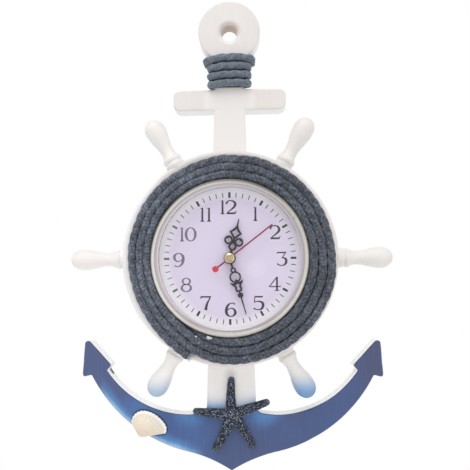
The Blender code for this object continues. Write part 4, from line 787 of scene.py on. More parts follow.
# Rows of how far along the handle and how wide it is, as shares of its length and radius
HANDLE_SHARES = (
    (1.0, 0.0), (0.997, 0.20), (0.983, 0.42), (0.965, 0.57), (0.94, 0.70), (0.91, 0.81), (0.87, 0.92),
    (0.83, 0.98), (0.79, 1.0), (0.745, 1.0), (0.70, 0.985), (0.65, 0.95), (0.60, 0.90), (0.55, 0.835),
    (0.50, 0.77), (0.45, 0.72), (0.41, 0.68), (0.37, 0.65), (0.33, 0.64), (0.29, 0.66), (0.25, 0.70),
    (0.22, 0.75), (0.20, 0.80), (0.19, 0.84), (0.18, 0.87), (0.17, 0.892), (0.16, 0.90), (0.13, 0.895),
    (0.118, 0.88), (0.108, 0.83), (0.095, 0.815), (0.082, 0.83), (0.072, 0.885), (0.062, 0.91),
    (0.035, 0.925), (0.014, 0.955), (0.0, 0.99), (-0.045, 0.99), (-0.045, 0.0),
)
# Each handle's name, how far it is sunk into the rim and how much longer it is, in millimetres
HANDLES = (
    ("right", 0.0, 0.0), ("upper_right", 2.4, 2.4), ("upper_left", 0.3, 0.5), ("left", 3.0, 3.0),
    ("lower_left", 2.4, 0.3), ("lower_right", 1.9, 0.4),
)


def make_wheel(material):
    shape = bmesh.new()
    front, back, middle = 3 * MM, 1.5 * MM, 60 * MM
    profile = [(BORE_RADIUS, RIM_FRONT), (middle, RIM_FRONT), (RIM_RADIUS - front - GAP, RIM_FRONT)]
    profile += arc((RIM_RADIUS - front, RIM_FRONT - front), front, 90, 0, 8)
    profile += arc((RIM_RADIUS - back, RIM_BACK + back), back, 0, -90, 5)
    profile += [(RIM_RADIUS - back - GAP, RIM_BACK), (middle, RIM_BACK), (BORE_RADIUS, RIM_BACK)]
    lathe(shape, profile, 180, closed=True)
    hand_sanded(shape, 0.1 * MM, 50.0)
    piece("wheel_rim_painted", shape, material, 32, "wheel_rim")


def make_handles(material):
    for i, (name, sunk, longer) in enumerate(HANDLES):
        turn = math.tau * i / len(HANDLES)
        seat, length = RIM_RADIUS + GAP - sunk * MM, HANDLE_LENGTH + longer * MM
        foot = Vector((seat * math.cos(turn), seat * math.sin(turn), (RIM_BACK + RIM_FRONT) / 2))
        matrix = (
            DIAL @ Matrix.Translation(foot)
            @ Matrix.Rotation(turn, 4, "Z") @ Matrix.Rotation(math.radians(90), 4, "Y")
        )
        shape = bmesh.new()
        lathe(shape, [(HANDLE_RADIUS * wide, length * along) for along, wide in HANDLE_SHARES], 48, matrix)
        hand_sanded(shape, 0.16 * MM, 90.0)
        piece(f"handle_{name}_painted", shape, material, 40, "handle_" + name)


# Rope

ROPE_LAYERS = ("along", "around", "strand")
ROPE_STEP = 0.8 * MM
# The lengths in which a strand winds once round the rope, and a yarn once round its strand
LAY, YARN_LAY = 22 * MM, 2.2 * MM
STRANDS, STRAND_SHARE, STRAND_SIDES = 3, 0.67, 12
# The lengths over which a strand thins towards its ends, to a share of its radius, and over which
# the coil's last end is untwisted
THINNED, END_SHARE, LOOSE_END = 1.2 * MM, 0.55, 4 * MM
# How the coiled rope's thin tail grows beside the bezel: (millimetres from its end, share of its radius)
TAIL = ((0, 0.18), (3, 0.36), (7, 0.57), (11.6, 0.75), (21, 0.93), (27, 1.0))
# How far the coil reaches from the clock's middle in millimetres, by degrees anticlockwise from its right
COIL_REACHES = (
    (0, 72.5), (30, 72.0), (60, 72.2), (90, 71.5), (105, 70.7), (200, 70.6), (215, 71.2), (232, 72.8),
    (270, 73.5), (300, 73.3), (330, 73.6), (342, 74.0), (352, 73.4), (360, 72.5),
)
COIL_TURNS, COIL_POINTS = 3, 440
# Degrees at which the coil starts and ends, and between which each turn steps out to the next
COIL_START, COIL_END = 241.0, 247.0 + 360 * COIL_TURNS
STEP_FROM, STEP_SPAN = 225.0, 43.0
# The coiled rope's full radius as a share of a turn's width, and the most that it can be
COIL_SHARE, COIL_THICKEST = 0.525, 3.05 * MM
WANDER, WANDER_SCALE = 0.5 * MM, 75
FULL_ROPE = 99  # millimetres from the end, where the tail has long grown to its full radius
NECK_PITCH = 6.2 * MM
# Each loop's half width, how far its end sags in front and rises behind, in millimetres
NECK_LOOPS = ((10.6, 0.7, 4.2), (10.6, 0.7, 3.8), (10.6, 0.8, 3.0), (13.5, 1.6, 1.0))
FIBRES, FIBRE_LENGTHS = 70, (1.8 * MM, 4.6 * MM)
FIBRE_RADII = (0.16 * MM, 0.16 * MM, 0.14 * MM, 0.11 * MM, 0.06 * MM)


def smooth_path(points):
    """Points one rope step apart on a smooth curve through the given ones."""
    fine = smooth_curve(points, 16)
    spaced, left = [fine[0]], ROPE_STEP
    for one, two in zip(fine, fine[1:]):
        length = (two - one).length
        while length > left:
            one = one.lerp(two, left / length)
            length -= left
            spaced.append(one)
            left = ROPE_STEP
        left -= length
    return [*spaced, fine[-1]]


def carried_frames(path, side):
    """A direction across the path at each point, carried along with as little turning as possible."""
    tangents, sides = [], []
    side = Vector(side)
    for i in range(len(path)):
        tangent = (path[min(i + 1, len(path) - 1)] - path[max(i - 1, 0)]).normalized()
        side = (side - tangent * side.dot(tangent)).normalized()
        tangents.append(tangent)
        sides.append(side)
    return tangents, sides


def tube(shape, path, radii, sides, first_side, number, layers):
    """A round tube with closed ends that knows how far along and around each of its points is."""
    rings, length = [], 0.0
    tangents, normals = carried_frames(path, first_side)
    for i, (middle, radius, tangent, normal) in enumerate(zip(path, radii, tangents, normals)):
        if i:
            length += (middle - path[i - 1]).length
        binormal = tangent.cross(normal)
        ring = []
        for j, (across, up) in enumerate(circle(0, 0, 1, sides)):
            spot = middle + (normal * across + binormal * up) * radius
            ring.append(marked(shape, spot, layers, (length, abs(2.0 * j / sides - 1.0), number)))
        rings.append(ring)
    strip(shape, rings)
    for ring in (rings[0], rings[-1]):
        shape.faces.new(ring)


def lay_rope(name, path, side, material, node, loose_end, thickness):
    """Strands laid left-handed about the path. They part at a loose end."""
    shape, layers = layered(*ROPE_LAYERS)
    step = (path[1] - path[0]).length
    tangents, sides = carried_frames(path, side)
    last = len(path) - 1
    for k in range(STRANDS):
        middles, radii = [], []
        for i, spot in enumerate(path):
            turn = -math.tau * (step * i / LAY + k / STRANDS)
            radius = thickness(spot, step * i / MM)
            across = sides[i] * math.cos(turn) + tangents[i].cross(sides[i]) * math.sin(turn)
            loose = max(0.0, 1 - (last - i) * step / loose_end) if loose_end else 0.0
            wave = noise.noise(spot * 420 + Vector((k * 7.3, 0, 0))) * 0.05
            reach = radius * (1 - STRAND_SHARE) * (1 + wave + 0.55 * loose**2)
            middles.append(spot + across * reach)
            taper = min(1.0, END_SHARE + min(i, last - i) * step / THINNED * (1 - END_SHARE))
            radii.append(radius * STRAND_SHARE * taper * (1 + wave * 0.8))
        tube(shape, middles, radii, STRAND_SIDES, sides[0], k + 1, layers)
    for vert in shape.verts:
        vert.co.y = min(vert.co.y, cad_box[1][1])
    piece(name, shape, material, 60, node)


def coil_width(degrees):
    """How wide one turn of the coil lies: it was wound tighter on the left."""
    return (between(COIL_REACHES, degrees % 360) * MM - BEZEL_RADIUS - GAP) / COIL_TURNS


def coil_radius(spot, run):
    """The coiled rope's radius at a point, run millimetres from its thin end."""
    degrees = math.degrees(math.atan2(spot.z - DIAL_UP, spot.x))
    return min(coil_width(degrees) * COIL_SHARE, COIL_THICKEST) * between(TAIL, run)


def rim_path():
    """The flat spiral of the CAD: three turns, each stepping out to the next between two angles."""
    points = []
    for i in range(COIL_POINTS):
        degrees = COIL_START + (COIL_END - COIL_START) * i / (COIL_POINTS - 1)
        turns = math.floor((degrees - STEP_FROM) / 360)
        into = min(1.0, (degrees - STEP_FROM - 360 * turns) / STEP_SPAN)
        stepped = max(0.0, turns - 1 + into * into * (3 - 2 * into))
        turn = math.radians(degrees)
        ahead = Vector((math.cos(turn), math.sin(turn)))
        full = coil_radius(Vector((ahead.x, 0, DIAL_UP + ahead.y)), FULL_ROPE)
        # A degree of the first turn is about a millimetre long.
        here = full * between(TAIL, degrees - COIL_START)
        radius = BEZEL_RADIUS + GAP + coil_width(degrees) * (stepped + 0.5) + here - full
        spot = Vector((ahead.x * radius, ahead.y * radius, RIM_FRONT + GAP + here))
        spot.x += noise.noise(spot * WANDER_SCALE) * WANDER
        spot.y += noise.noise(spot * WANDER_SCALE + Vector((9, 0, 0))) * WANDER
        points.append(DIAL @ spot)
    return points


def neck_path():
    """Four loops round the neck. Their ends sag in front, and they climb towards the back."""
    climb, reach = NECK_PITCH * 0.15, GAP + ROPE_RADIUS
    back, front = -reach, BOARD + reach
    points = []
    for i, loop in enumerate(NECK_LOOPS):
        half, sag, rise = (part * MM for part in loop)
        up = STOCK_UP + reach + NECK_PITCH * i
        next_rise = NECK_PITCH + NECK_LOOPS[i + 1][2] * MM if loop != NECK_LOOPS[-1] else rise
        left = arc((-half, 0), reach, 270, 180, 5) + arc((-half, BOARD), reach, 180, 90, 5)
        lifts = [(sag + rise) * (front - out) / (front - back) - sag for x, out in left]
        if i == 0:
            points.append((0, up + rise, back))
        points.append((-half * 0.9, up + lifts[0], back))
        points += [(x, up + lift, out) for (x, out), lift in zip(left, lifts)]
        points += [(half * share, up + climb * (0.5 + 0.4 * share), front) for share in (-0.5, 0, 0.5)]
        points += [(-x, up + climb + lift, out) for (x, out), lift in reversed(list(zip(left, lifts)))]
        points.append((half * 0.9, up + climb + rise, back))
        points.append((0, up + (climb + rise + next_rise) / 2, back))
    return [FRONT @ Vector(point) for point in points]


def make_fray(path):
    """Loose fibres at the coiled rope's cut end."""
    chance = random.Random(3)
    out = Vector((0, -1, 0))
    shape, layers = layered(*ROPE_LAYERS)
    ahead = (path[-1] - path[-4]).normalized()
    across = ahead.cross(out).normalized()
    for k in range(FIBRES):
        turn, far = chance.uniform(0, math.tau), math.sqrt(chance.random()) * ROPE_RADIUS * 0.9
        start = path[-1] - ahead * 1.2 * MM + (across * math.cos(turn) + out * math.sin(turn)) * far
        way = ahead + across * chance.uniform(-0.8, 0.8) + out * chance.uniform(-0.25, 0.15)
        bend = Vector([chance.uniform(-1, 1) for _ in range(3)]) * 0.6
        length = chance.uniform(*FIBRE_LENGTHS)
        spots = [start + (way * t + bend * t * t * 0.6) * length for t in (0, 0.25, 0.5, 0.75, 1.0)]
        tube(shape, spots, FIBRE_RADII, 5, out, k * 0.37, layers)
    material = plain("frayed_fibres", (84, 90, 102), (188, 192, 200), 0.9)
    piece("rim_rope_fray", shape, material, 60, like="rim_rope")


def make_ropes():
    material = rope_yarn()
    rim, neck = smooth_path(rim_path()), smooth_path(neck_path())
    lay_rope("rim_rope_laid", rim, (0, -1, 0), material, "rim_rope", LOOSE_END, coil_radius)
    lay_rope("neck_rope_laid", neck, (0, 0, 1), material, "neck_rope", 0, lambda spot, run: ROPE_RADIUS)
    make_fray(rim)


# The dried drops of glue on the rope below the bezel: x, up, out and radius in millimetres
GLUE_DROPS = ((-14.6, -170.5, 32.8, 1.1), (-13.3, -170.8, 32.6, 0.8), (-23.1, -169.7, 32.7, 0.6))


def make_glue():
    shape = bmesh.new()
    for drop in GLUE_DROPS:
        x, up, out, size = (part * MM for part in drop)
        for vert in bmesh.ops.create_icosphere(shape, subdivisions=3, radius=size)["verts"]:
            vert.co *= 1 + noise.noise(vert.co * 900 + Vector((x * 900, 0, 0))) * 0.5
            vert.co = Vector((x, -out, up)) + Vector((vert.co.x * 1.3, vert.co.y * 0.5, vert.co.z))
    material = plain("dried_glue", (196, 204, 210), (224, 228, 230), 0.25)
    piece("glue_drops", shape, material, 80, like="rim_rope")


# Starfish and shell

# Each arm's direction in degrees anticlockwise from the right, and its share of the full length
STAR_ARMS = ((23.3, 0.955), (91.8, 0.93), (171.2, 0.95), (241.5, 0.955), (305.4, 0.89))
STAR_ARM, STAR_BASE_HALF, STAR_TIP_HALF = 30.2 * MM, 4.6 * MM, 2.4 * MM
STAR_BASE_HEIGHT, STAR_TIP_HEIGHT = 6.4 * MM, 3.2 * MM
STAR_RAYS, STAR_ROWS, STAR_REACH = 300, 84, 34 * MM
GRAIN_SCALE, GRAIN_HEIGHT, LUMP_SCALE, LUMP_HEIGHT = 980, 0.42 * MM, 260, 0.25 * MM
# Below this height the star's foot stays smooth.
STAR_FOOT = 0.4 * MM
SHELL_RIBS, RIB_STEPS, SHELL_ROWS = 15, 8, 44
SHELL_WALL, SHELL_EDGE, SHELL_DOME = 1.3 * MM, 1.5 * MM, 6.0 * MM
RIB_HEIGHT, GROWTH_HEIGHT, GROWTH_SCALE = 0.15 * MM, 0.1 * MM, 46


def star_height(x, up):
    """How high the star stands over a point, as seen from its middle."""
    best = 0.0
    for degrees, share in STAR_ARMS:
        turn, length = math.radians(degrees), STAR_ARM * share
        along = x * math.cos(turn) + up * math.sin(turn)
        curve = 0.0007 * math.sin(along / length * 3.0 + degrees)
        side = abs(-x * math.sin(turn) + up * math.cos(turn) + curve)
        narrowed = min(1.0, max(0.0, along) / length) ** 0.7
        half = STAR_BASE_HALF + (STAR_TIP_HALF - STAR_BASE_HALF) * narrowed
        far = math.hypot(side, max(0.0, along - (length - STAR_TIP_HALF)) if along > 0 else -along)
        if far < half:
            height = STAR_BASE_HEIGHT + (STAR_TIP_HEIGHT - STAR_BASE_HEIGHT) * narrowed
            best = max(best, height * math.sqrt(1 - (far / half) ** 2) ** 0.85)
    return best


def make_starfish():
    """The arms' height on a fine grid of rays from the middle, then covered with small grains."""
    shape, (peak_layer,) = layered("peak")
    rays, outline = circle(0, 0, 1, STAR_RAYS), []
    for across, up in rays:
        low, high = 0.0, STAR_REACH
        for _ in range(22):
            middle = (low + high) / 2
            if star_height(middle * across, middle * up) > 0:
                low = middle
            else:
                high = middle
        outline.append(low)
    rings = []
    for j in range(STAR_ROWS + 1):
        share = max(math.sin(math.pi / 2 * j / STAR_ROWS), 0.012)
        ring = []
        for (across, up), reach in zip(rays, outline):
            x, z = reach * share * across, reach * share * up
            ring.append(shape.verts.new((x, -star_height(x, z) if j < STAR_ROWS else 0.0, z)))
        rings.append(ring)
    base = [shape.verts.new((vert.co.x * 0.97, 0, vert.co.z * 0.97)) for vert in rings[-1]]
    strip(shape, [*rings, base])
    shape.faces.new(rings[0])
    shape.faces.new(base)
    bmesh.ops.recalc_face_normals(shape, faces=shape.faces)
    shape.normal_update()
    for vert in shape.verts:
        grain = max(0.0, 1 - noise.voronoi(vert.co * GRAIN_SCALE)[0][0] * 1.55)
        vert[peak_layer] = grain
        if vert.co.y < -STAR_FOOT:
            lump = noise.noise(vert.co * LUMP_SCALE) * LUMP_HEIGHT
            vert.co += vert.normal * ((grain - 0.25) * GRAIN_HEIGHT + lump)
        vert.co += Vector((STAR_SPOT[0], -BOARD - GAP, STAR_SPOT[1]))
    piece("starfish_grainy", shape, star_grit(), 180, "starfish")


def make_shell():
    """A hollow fan with rounded ribs, growth rings and a scalloped margin."""
    shape, layers = layered("out", "rib")
    columns = SHELL_RIBS * RIB_STEPS
    turned = Matrix.Rotation(math.radians(-SHELL_TURN), 4, "Z")
    matrix = FRONT @ Matrix.Translation((*SHELL_HINGE, BOARD + GAP)) @ turned
    upper, lower = [], []
    for j in range(SHELL_ROWS + 1):
        out = 0.06 + 0.94 * j / SHELL_ROWS
        upper.append([])
        lower.append([])
        for i in range(columns + 1):
            across = i / columns * 2 - 1
            degrees = SHELL_FAN / 2 * across
            ribbed = math.cos(math.tau * i / RIB_STEPS + math.pi)
            margin = (between(SHELL_REACHES, degrees - 3) + between(SHELL_REACHES, degrees + 3)) / 2 * MM
            reach = margin * out * (1 + 0.010 * ribbed * out**6)
            dome = math.sin(math.pi * out**0.8) * math.sqrt(max(0.0, 1 - across**2))
            wave = noise.noise(Vector((out * 5, across * 3, 0))) * 3
            growth = math.sin(out * GROWTH_SCALE + wave) * GROWTH_HEIGHT * out
            relief = (RIB_HEIGHT * out * ribbed + growth) * (1 - abs(across) ** 8)
            height = SHELL_EDGE + SHELL_DOME * dome + relief
            x, y = reach * math.sin(math.radians(degrees)), reach * math.cos(math.radians(degrees))
            for rings, up in ((upper, height), (lower, max(0.0, height - SHELL_WALL))):
                rings[-1].append(marked(shape, matrix @ Vector((x, y, up)), layers, (out, ribbed)))
    strip(shape, upper, closed=False)
    strip(shape, lower, closed=False)
    for side in (0, -1):
        strip(shape, [upper[side], lower[side]], closed=False)
        strip(shape, [[ring[side] for ring in rings] for rings in (upper, lower)], closed=False)
    piece("scallop_shell_ribbed", shape, shell_cream(), 50, "scallop_shell")


# Clock insert

BEZEL_WIDTH, BEZEL_WALL = 5.5 * MM, 1.05 * MM
BEZEL_FOOT, BEZEL_LIP, BEZEL_CREST = 27.6 * MM, 30.9 * MM, 33.4 * MM
# The bezel's front, as shares of its width and of the way from its inner lip to its crest
BEZEL_SHARES = (
    (0.0, 0.25), (0.02, 0.31), (0.06, 0.345), (0.14, 0.36), (0.24, 0.375), (0.31, 0.40), (0.35, 0.46),
    (0.40, 0.62), (0.45, 0.76), (0.5, 0.86), (0.57, 0.94), (0.64, 0.985), (0.72, 1.0), (0.79, 0.975),
    (0.85, 0.91), (0.9, 0.80), (0.95, 0.63), (0.985, 0.48), (1.0, 0.36),
)
DIAL_RADIUS, DIAL_BACK, DIAL_FRONT, SPINDLE_HOLE = 49.9 * MM, 23.6 * MM, 24.4 * MM, 3.9 * MM
LENS_RADIUS, LENS_RISE, LENS_WALL = 50.2 * MM, 4.5 * MM, 1.5 * MM
FLANGE_RADIUS, FLANGE_FRONT = 53.4 * MM, 30.6 * MM


def make_insert():
    inner, high = BEZEL_RADIUS - BEZEL_WIDTH, BEZEL_CREST - BEZEL_LIP
    hollow = BEZEL_RADIUS - BEZEL_WALL
    bezel = [(inner, BEZEL_LIP)]
    bezel += [(inner + BEZEL_WIDTH * wide, BEZEL_LIP + high * share) for wide, share in BEZEL_SHARES]
    bezel += [(BEZEL_RADIUS, BEZEL_FOOT), (hollow, BEZEL_FOOT), (hollow, BEZEL_LIP)]
    dial = [
        (SPINDLE_HOLE, DIAL_FRONT), (DIAL_RADIUS, DIAL_FRONT),
        (DIAL_RADIUS, DIAL_BACK), (SPINDLE_HOLE, DIAL_BACK),
    ]
    sphere = (LENS_RADIUS**2 + LENS_RISE**2) / (2 * LENS_RISE)
    dome = []
    for i in range(15):
        radius = LENS_RADIUS * i / 14
        dome.append((radius, FLANGE_FRONT + LENS_RISE - sphere + math.sqrt(sphere**2 - radius**2)))
    lens = [*dome, (FLANGE_RADIUS, FLANGE_FRONT), (FLANGE_RADIUS, FLANGE_FRONT - LENS_WALL)]
    lens += [(radius, height - LENS_WALL) for radius, height in reversed(dome)]
    for name, profile, steps, closed, material, angle, node in (
        ("bezel_polished", bezel, 180, True, champagne(), 40, "bezel"),
        ("dial_card", dial, 160, True, dial_face(), 32, "dial"),
        ("lens_clear", lens, 120, False, clear_lens(), 40, "lens"),
    ):
        shape = bmesh.new()
        lathe(shape, profile, steps, closed=closed)
        piece(name, shape, material, angle, node)


# Dial print. Strokes are rows of (x, y, width) in shares of a numeral's height; solids are outlines.

DIGIT_WIDTH, DIGIT_SPACE, ELEVEN_SPACE = 0.80, 0.07, 0.16


def turned_round(strokes):
    return [[(DIGIT_WIDTH - x, 1 - y, wide) for x, y, wide in stroke] for stroke in strokes]


def oval(x, y, wide, high, side, end):
    """A closed stroke that is thickest at its sides."""
    made = []
    for i in range(33):
        turn = math.tau * i / 32
        thick = end + (side - end) * abs(math.cos(turn)) ** 1.5
        made.append((x + (wide - thick / 2) * math.cos(turn), y + (high - thick / 2) * math.sin(turn), thick))
    return made


SIX = [[
    (0.70, 0.885, 0.08), (0.61, 0.95, 0.06), (0.47, 0.97, 0.05), (0.28, 0.89, 0.085), (0.14, 0.70, 0.125),
    (0.08, 0.44, 0.14), (0.13, 0.20, 0.13), (0.27, 0.06, 0.075), (0.42, 0.027, 0.05), (0.59, 0.075, 0.08),
    (0.715, 0.22, 0.13), (0.715, 0.39, 0.13), (0.61, 0.55, 0.08), (0.45, 0.605, 0.05), (0.28, 0.555, 0.05),
    (0.15, 0.43, 0.05),
]]
STROKES = {
    "0": [oval(0.40, 0.5, 0.40, 0.5, 0.13, 0.05)],
    "2": [[
        (0.065, 0.73, 0.10), (0.075, 0.83, 0.09), (0.19, 0.94, 0.06), (0.38, 0.972, 0.055),
        (0.58, 0.90, 0.09), (0.68, 0.73, 0.13), (0.63, 0.55, 0.115), (0.44, 0.37, 0.08),
        (0.21, 0.19, 0.055), (0.07, 0.07, 0.045),
    ]],
    "3": [[(0.66, 0.965, 0.05), (0.40, 0.56, 0.05)], [
        (0.36, 0.555, 0.04), (0.49, 0.565, 0.06), (0.645, 0.49, 0.11), (0.69, 0.33, 0.13),
        (0.63, 0.15, 0.11), (0.45, 0.035, 0.06), (0.24, 0.04, 0.05), (0.09, 0.12, 0.07), (0.04, 0.17, 0.05),
    ]],
    "4": [[(0.60, 0.99, 0.05), (0.05, 0.30, 0.05)]],
    "5": [[(0.125, 0.95, 0.05), (0.085, 0.52, 0.045)], [
        (0.085, 0.53, 0.04), (0.22, 0.60, 0.05), (0.44, 0.615, 0.07), (0.645, 0.52, 0.12),
        (0.705, 0.34, 0.135), (0.63, 0.13, 0.11), (0.43, 0.03, 0.06), (0.22, 0.035, 0.05),
        (0.07, 0.11, 0.075), (0.035, 0.155, 0.05),
    ]],
    "6": SIX,
    "7": [[(0.765, 0.965, 0.05), (0.62, 0.68, 0.08), (0.48, 0.36, 0.12), (0.41, 0.0, 0.15)]],
    "8": [oval(0.40, 0.755, 0.315, 0.245, 0.10, 0.045), oval(0.40, 0.285, 0.39, 0.285, 0.115, 0.05)],
    "9": turned_round(SIX),
}
SOLIDS = {
    "1": [[(-0.068, 0.03), (-0.056, 0.96), (0.068, 1.0), (0.074, 0.03)],
          [(-0.16, 0.955), (-0.05, 0.985), (0.062, 1.0), (-0.04, 0.915)],
          [(-0.16, 0.0), (0.16, 0.0), (0.16, 0.02), (0.068, 0.10), (-0.062, 0.10), (-0.16, 0.02)]],
    "2": [[(0.03, 0.0), (0.69, 0.0), (0.785, 0.24), (0.73, 0.24), (0.66, 0.13), (0.14, 0.13), (0.07, 0.07)]],
    "3": [[(0.02, 0.86), (0.055, 1.0), (0.69, 1.0), (0.66, 0.90), (0.12, 0.90), (0.06, 0.84)]],
    "4": [[(0.53, 0.04), (0.53, 0.97), (0.66, 1.0), (0.66, 0.04)],
          [(0.03, 0.265), (0.03, 0.335), (0.80, 0.335), (0.85, 0.39), (0.85, 0.265)],
          [(0.41, 0.0), (0.78, 0.0), (0.78, 0.02), (0.66, 0.07), (0.53, 0.07), (0.41, 0.02)]],
    "5": [[(0.10, 0.89), (0.10, 1.0), (0.70, 1.0), (0.66, 0.89)]],
    "7": [[(0.02, 0.81), (0.055, 1.0), (0.80, 1.0), (0.74, 0.89), (0.14, 0.89), (0.07, 0.81)]],
}
# What each hour reads, with the middle of its numeral from the dial's, in millimetres
NUMERALS = (
    ("12", -0.7, 35.9), ("1", 18.1, 30.9), ("2", 31.8, 18.0), ("3", 36.3, -0.6), ("4", 31.1, -18.0),
    ("5", 19.9, -31.3), ("6", 0.3, -35.9), ("7", -17.2, -31.2), ("8", -30.7, -18.4), ("9", -35.8, -0.9),
    ("10", -29.3, 17.1), ("11", -16.8, 30.8),
)
NUMERAL_HEIGHT, STROKE_SHARE = 9.8 * MM, 0.70
# Where a digit's ink starts and ends, if not at 0 and at the digits' common width
LEFT_EDGES = {"1": -0.16}
RIGHT_EDGES = {"1": 0.16, "2": 0.785, "3": 0.755, "4": 0.85, "5": 0.775, "6": 0.785, "8": 0.79}
# Where a mark starts and ends from the dial's middle, and half its width, in millimetres
HOUR_MARK, MINUTE_MARK = (42.5, 46.4, 0.80), (42.9, 46.2, 0.29)
PRINT_LIFT = 0.02 * MM


def stroke_outline(rows):
    """The two sides of a smooth stroke whose width changes along it."""
    path = smooth_curve(rows, 1 if len(rows) == 2 else 6)
    left, right = [], []
    for i, spot in enumerate(path):
        along = (path[min(i + 1, len(path) - 1)] - path[max(i - 1, 0)]).to_2d().normalized()
        side = Vector((-along.y, along.x)) * spot.z * STROKE_SHARE
        left.append(spot.to_2d() + side)
        right.append(spot.to_2d() - side)
    return left, right


def make_print():
    shape = bmesh.new()

    def put(points, x=0.0, up=0.0, size=1.0):
        moved = [(x + across * size, up + high * size) for across, high in points]
        return ring_at(shape, moved, DIAL_FRONT + PRINT_LIFT, DIAL)

    for text, x, up in NUMERALS:
        space = ELEVEN_SPACE if text == "11" else DIGIT_SPACE
        starts, edge = [], 0.0
        for digit in text:
            starts.append(edge - LEFT_EDGES.get(digit, 0.0))
            edge = starts[-1] + RIGHT_EDGES.get(digit, DIGIT_WIDTH) + space
        foot = up * MM - NUMERAL_HEIGHT / 2
        for digit, start in zip(text, starts):
            left = x * MM + (start - (edge - space) / 2) * NUMERAL_HEIGHT
            for rows in STROKES.get(digit, []):
                sides = [put(side, left, foot, NUMERAL_HEIGHT) for side in stroke_outline(rows)]
                strip(shape, sides, closed=False)
            for points in SOLIDS.get(digit, []):
                shape.faces.new(put(points, left, foot, NUMERAL_HEIGHT))
    for i in range(60):
        turn = math.radians(6 * i)
        ahead, side = Vector((math.sin(turn), math.cos(turn))), Vector((math.cos(turn), -math.sin(turn)))
        inner, outer, half = HOUR_MARK if i % 5 == 0 else MINUTE_MARK
        corners = ((inner, -half), (outer, -half), (outer, half), (inner, half))
        shape.faces.new(put([ahead * (out * MM) + side * (across * MM) for out, across in corners]))
    for face in shape.faces:
        face.normal_update()
        if face.normal.y > 0:
            face.normal_flip()
    piece("dial_print", shape, dial_ink(), 32, like="dial", closed=False)


# CAD parts that keep their shape

LACQUER = 0.12 * MM
HUB_REACH = 4.2 * MM


def softened(node, material, width):
    """The node's own mesh, welded, with edges softened by the width in millimetres."""
    shape = bmesh.new()
    shape.from_mesh(frame["nodes"][node].data)
    bmesh.ops.remove_doubles(shape, verts=shape.verts, dist=1e-6)
    bmesh.ops.dissolve_limit(
        shape, angle_limit=math.radians(0.2), verts=shape.verts, edges=shape.edges
    )
    if node.endswith("_hand"):
        # Lacquer thickens the blades by a hair.
        bmesh.ops.recalc_face_normals(shape, faces=shape.faces)
        shape.normal_update()
        for vert in shape.verts:
            side = Vector((vert.normal.x, 0, vert.normal.z))
            if math.hypot(vert.co.x, vert.co.z - DIAL_UP) > HUB_REACH and side.length > 0.2:
                vert.co += side.normalized() * LACQUER
    made = piece(node + "_finished", shape, material, 34, node)
    if width:
        bevel = made.modifiers.new("soft_edges", "BEVEL")
        bevel.width = width * MM
        bevel.segments = 2
        bevel.limit_method = "ANGLE"
        bevel.angle_limit = math.radians(40)
        bevel.harden_normals = True


def make_kept_parts():
    black_hand = plain("black_hand", (22, 16, 26), (34, 28, 38), 0.34, gloss=0.15)
    brass = plain("brass", (222, 190, 124), (236, 208, 148), 0.22, 1.0)
    steel = plain("steel", (190, 190, 190), (206, 206, 204), 0.28, 1.0)
    black_plastic = plain("black_plastic", (30, 30, 32), (38, 38, 40), 0.5, depth=0.00008)
    gear_plastic = plain("gear_plastic", (224, 218, 196), (232, 226, 206), 0.4)
    for node, material, width in (
        ("clock_can", plain("white_plastic", (222, 222, 218), (230, 230, 226), 0.42), 0),
        ("movement_case", black_plastic, 0.3), ("movement_cover", black_plastic, 0.2),
        ("movement_screw_left", steel, 0), ("movement_screw_right", steel, 0),
        ("battery", battery_jacket(), 0), ("contact_positive", brass, 0), ("contact_negative", steel, 0),
        ("circuit_board", plain("circuit_green", (30, 92, 58), (38, 108, 68), 0.36), 0),
        ("coil", plain("copper", (196, 120, 78), (212, 138, 92), 0.3, 1.0), 0),
        ("spindle_bush", steel, 0), ("hour_wheel", gear_plastic, 0), ("hour_hand", black_hand, 0.05),
        ("minute_arbor", brass, 0), ("minute_hand", black_hand, 0.05), ("second_arbor", steel, 0),
        ("second_hand", second_red(), 0.04), ("second_boss", boss_brass(), 0.12),
        ("motion_wheel", gear_plastic, 0), ("set_knob", black_plastic, 0.15),
    ):
        softened(node, material, width)


# Floor, light and camera

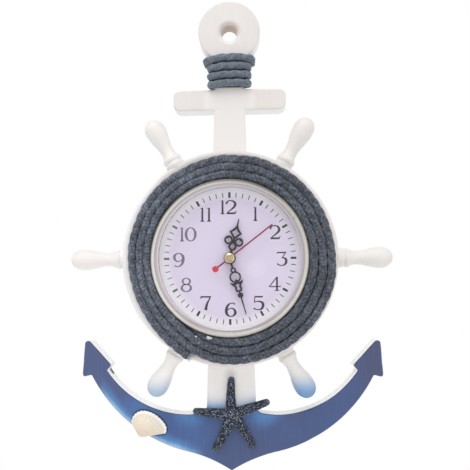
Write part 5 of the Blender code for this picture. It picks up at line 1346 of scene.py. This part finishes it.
def make_floor():
    """A pale floor under the clock that fades into the background."""
    graph = Graph("studio_floor", 0.8)
    graph.colour = (250, 250, 250)
    graph.shade(graph.noise(40.0, 3.0), 0.99, 1.0)
    graph.set("Base Color", graph.colour)
    fade = graph.math("SQRT", graph.x * graph.x + graph.y * graph.y).ease(0.35, 0.62)
    graph.blend(fade, graph.shader, graph.node("ShaderNodeBsdfTransparent"))
    shape = bmesh.new()
    bmesh.ops.create_circle(shape, cap_ends=True, radius=0.65, segments=96)
    mesh = bpy.data.meshes.new("floor")
    shape.to_mesh(mesh)
    shape.free()
    mesh.materials.append(graph.material)
    floor = placed("floor", mesh)
    floor.location = (0, 0, -0.5)


def make_world():
    """White where the camera or a reflection looks, and a softer white as light on the clock."""
    world = bpy.data.worlds.new("studio")
    bpy.context.scene.world = world
    world.use_nodes = True
    graph = Nodes(world.node_tree)
    graph.tree.nodes.clear()
    graph.node("ShaderNodeOutputWorld")
    path = graph.node("ShaderNodeLightPath").outputs
    seen = graph.math("MAXIMUM", path["Is Camera Ray"], path["Is Glossy Ray"])
    ambient = graph.node("ShaderNodeBackground", Color=(0.97, 0.985, 1.0, 1.0), Strength=0.74)
    white = graph.node("ShaderNodeBackground", Color=(1.0, 1.0, 1.0, 1.0), Strength=1.0)
    graph.blend(highest(seen, path["Is Transmission Ray"]), ambient, white)


def make_sun(name, direction, strength, spread, colour):
    light = bpy.data.lights.new(name, "SUN")
    light.energy = strength
    light.angle = math.radians(spread)
    light.color = colour
    lamp = placed(name, light)
    lamp.rotation_mode = "QUATERNION"
    lamp.rotation_quaternion = Vector(direction).to_track_quat("Z", "Y")


def make_camera():
    data = bpy.data.cameras.new("camera")
    data.sensor_width = 36.0
    data.lens = 42.28
    data.shift_x, data.shift_y = 0.0149, 0.0745
    data.clip_start, data.clip_end = 0.01, 50.0
    camera = placed("camera", data)
    camera.location = (0.0150, -0.4102, -0.1318)
    camera.rotation_euler = (math.radians(91.15), math.radians(0.39), math.radians(2.43))
    bpy.context.scene.camera = camera


make_anchor()
painted = wheel_paint()
make_wheel(painted)
make_handles(painted)
make_ropes()
make_glue()
make_starfish()
make_shell()
make_insert()
make_print()
make_kept_parts()
make_floor()
make_world()
make_sun("key", (-0.15, -0.40, 0.90), 1.2, 45, (1.0, 0.99, 0.98))
make_sun("fill", (0.7, -0.7, 0.1), 0.22, 60, (0.97, 0.985, 1.0))
make_sun("glint", (0.14, -1.0, -0.03), 0.008, 7, (1.0, 1.0, 1.0))
make_camera()
bpy.context.scene.view_settings.view_transform = "Standard"
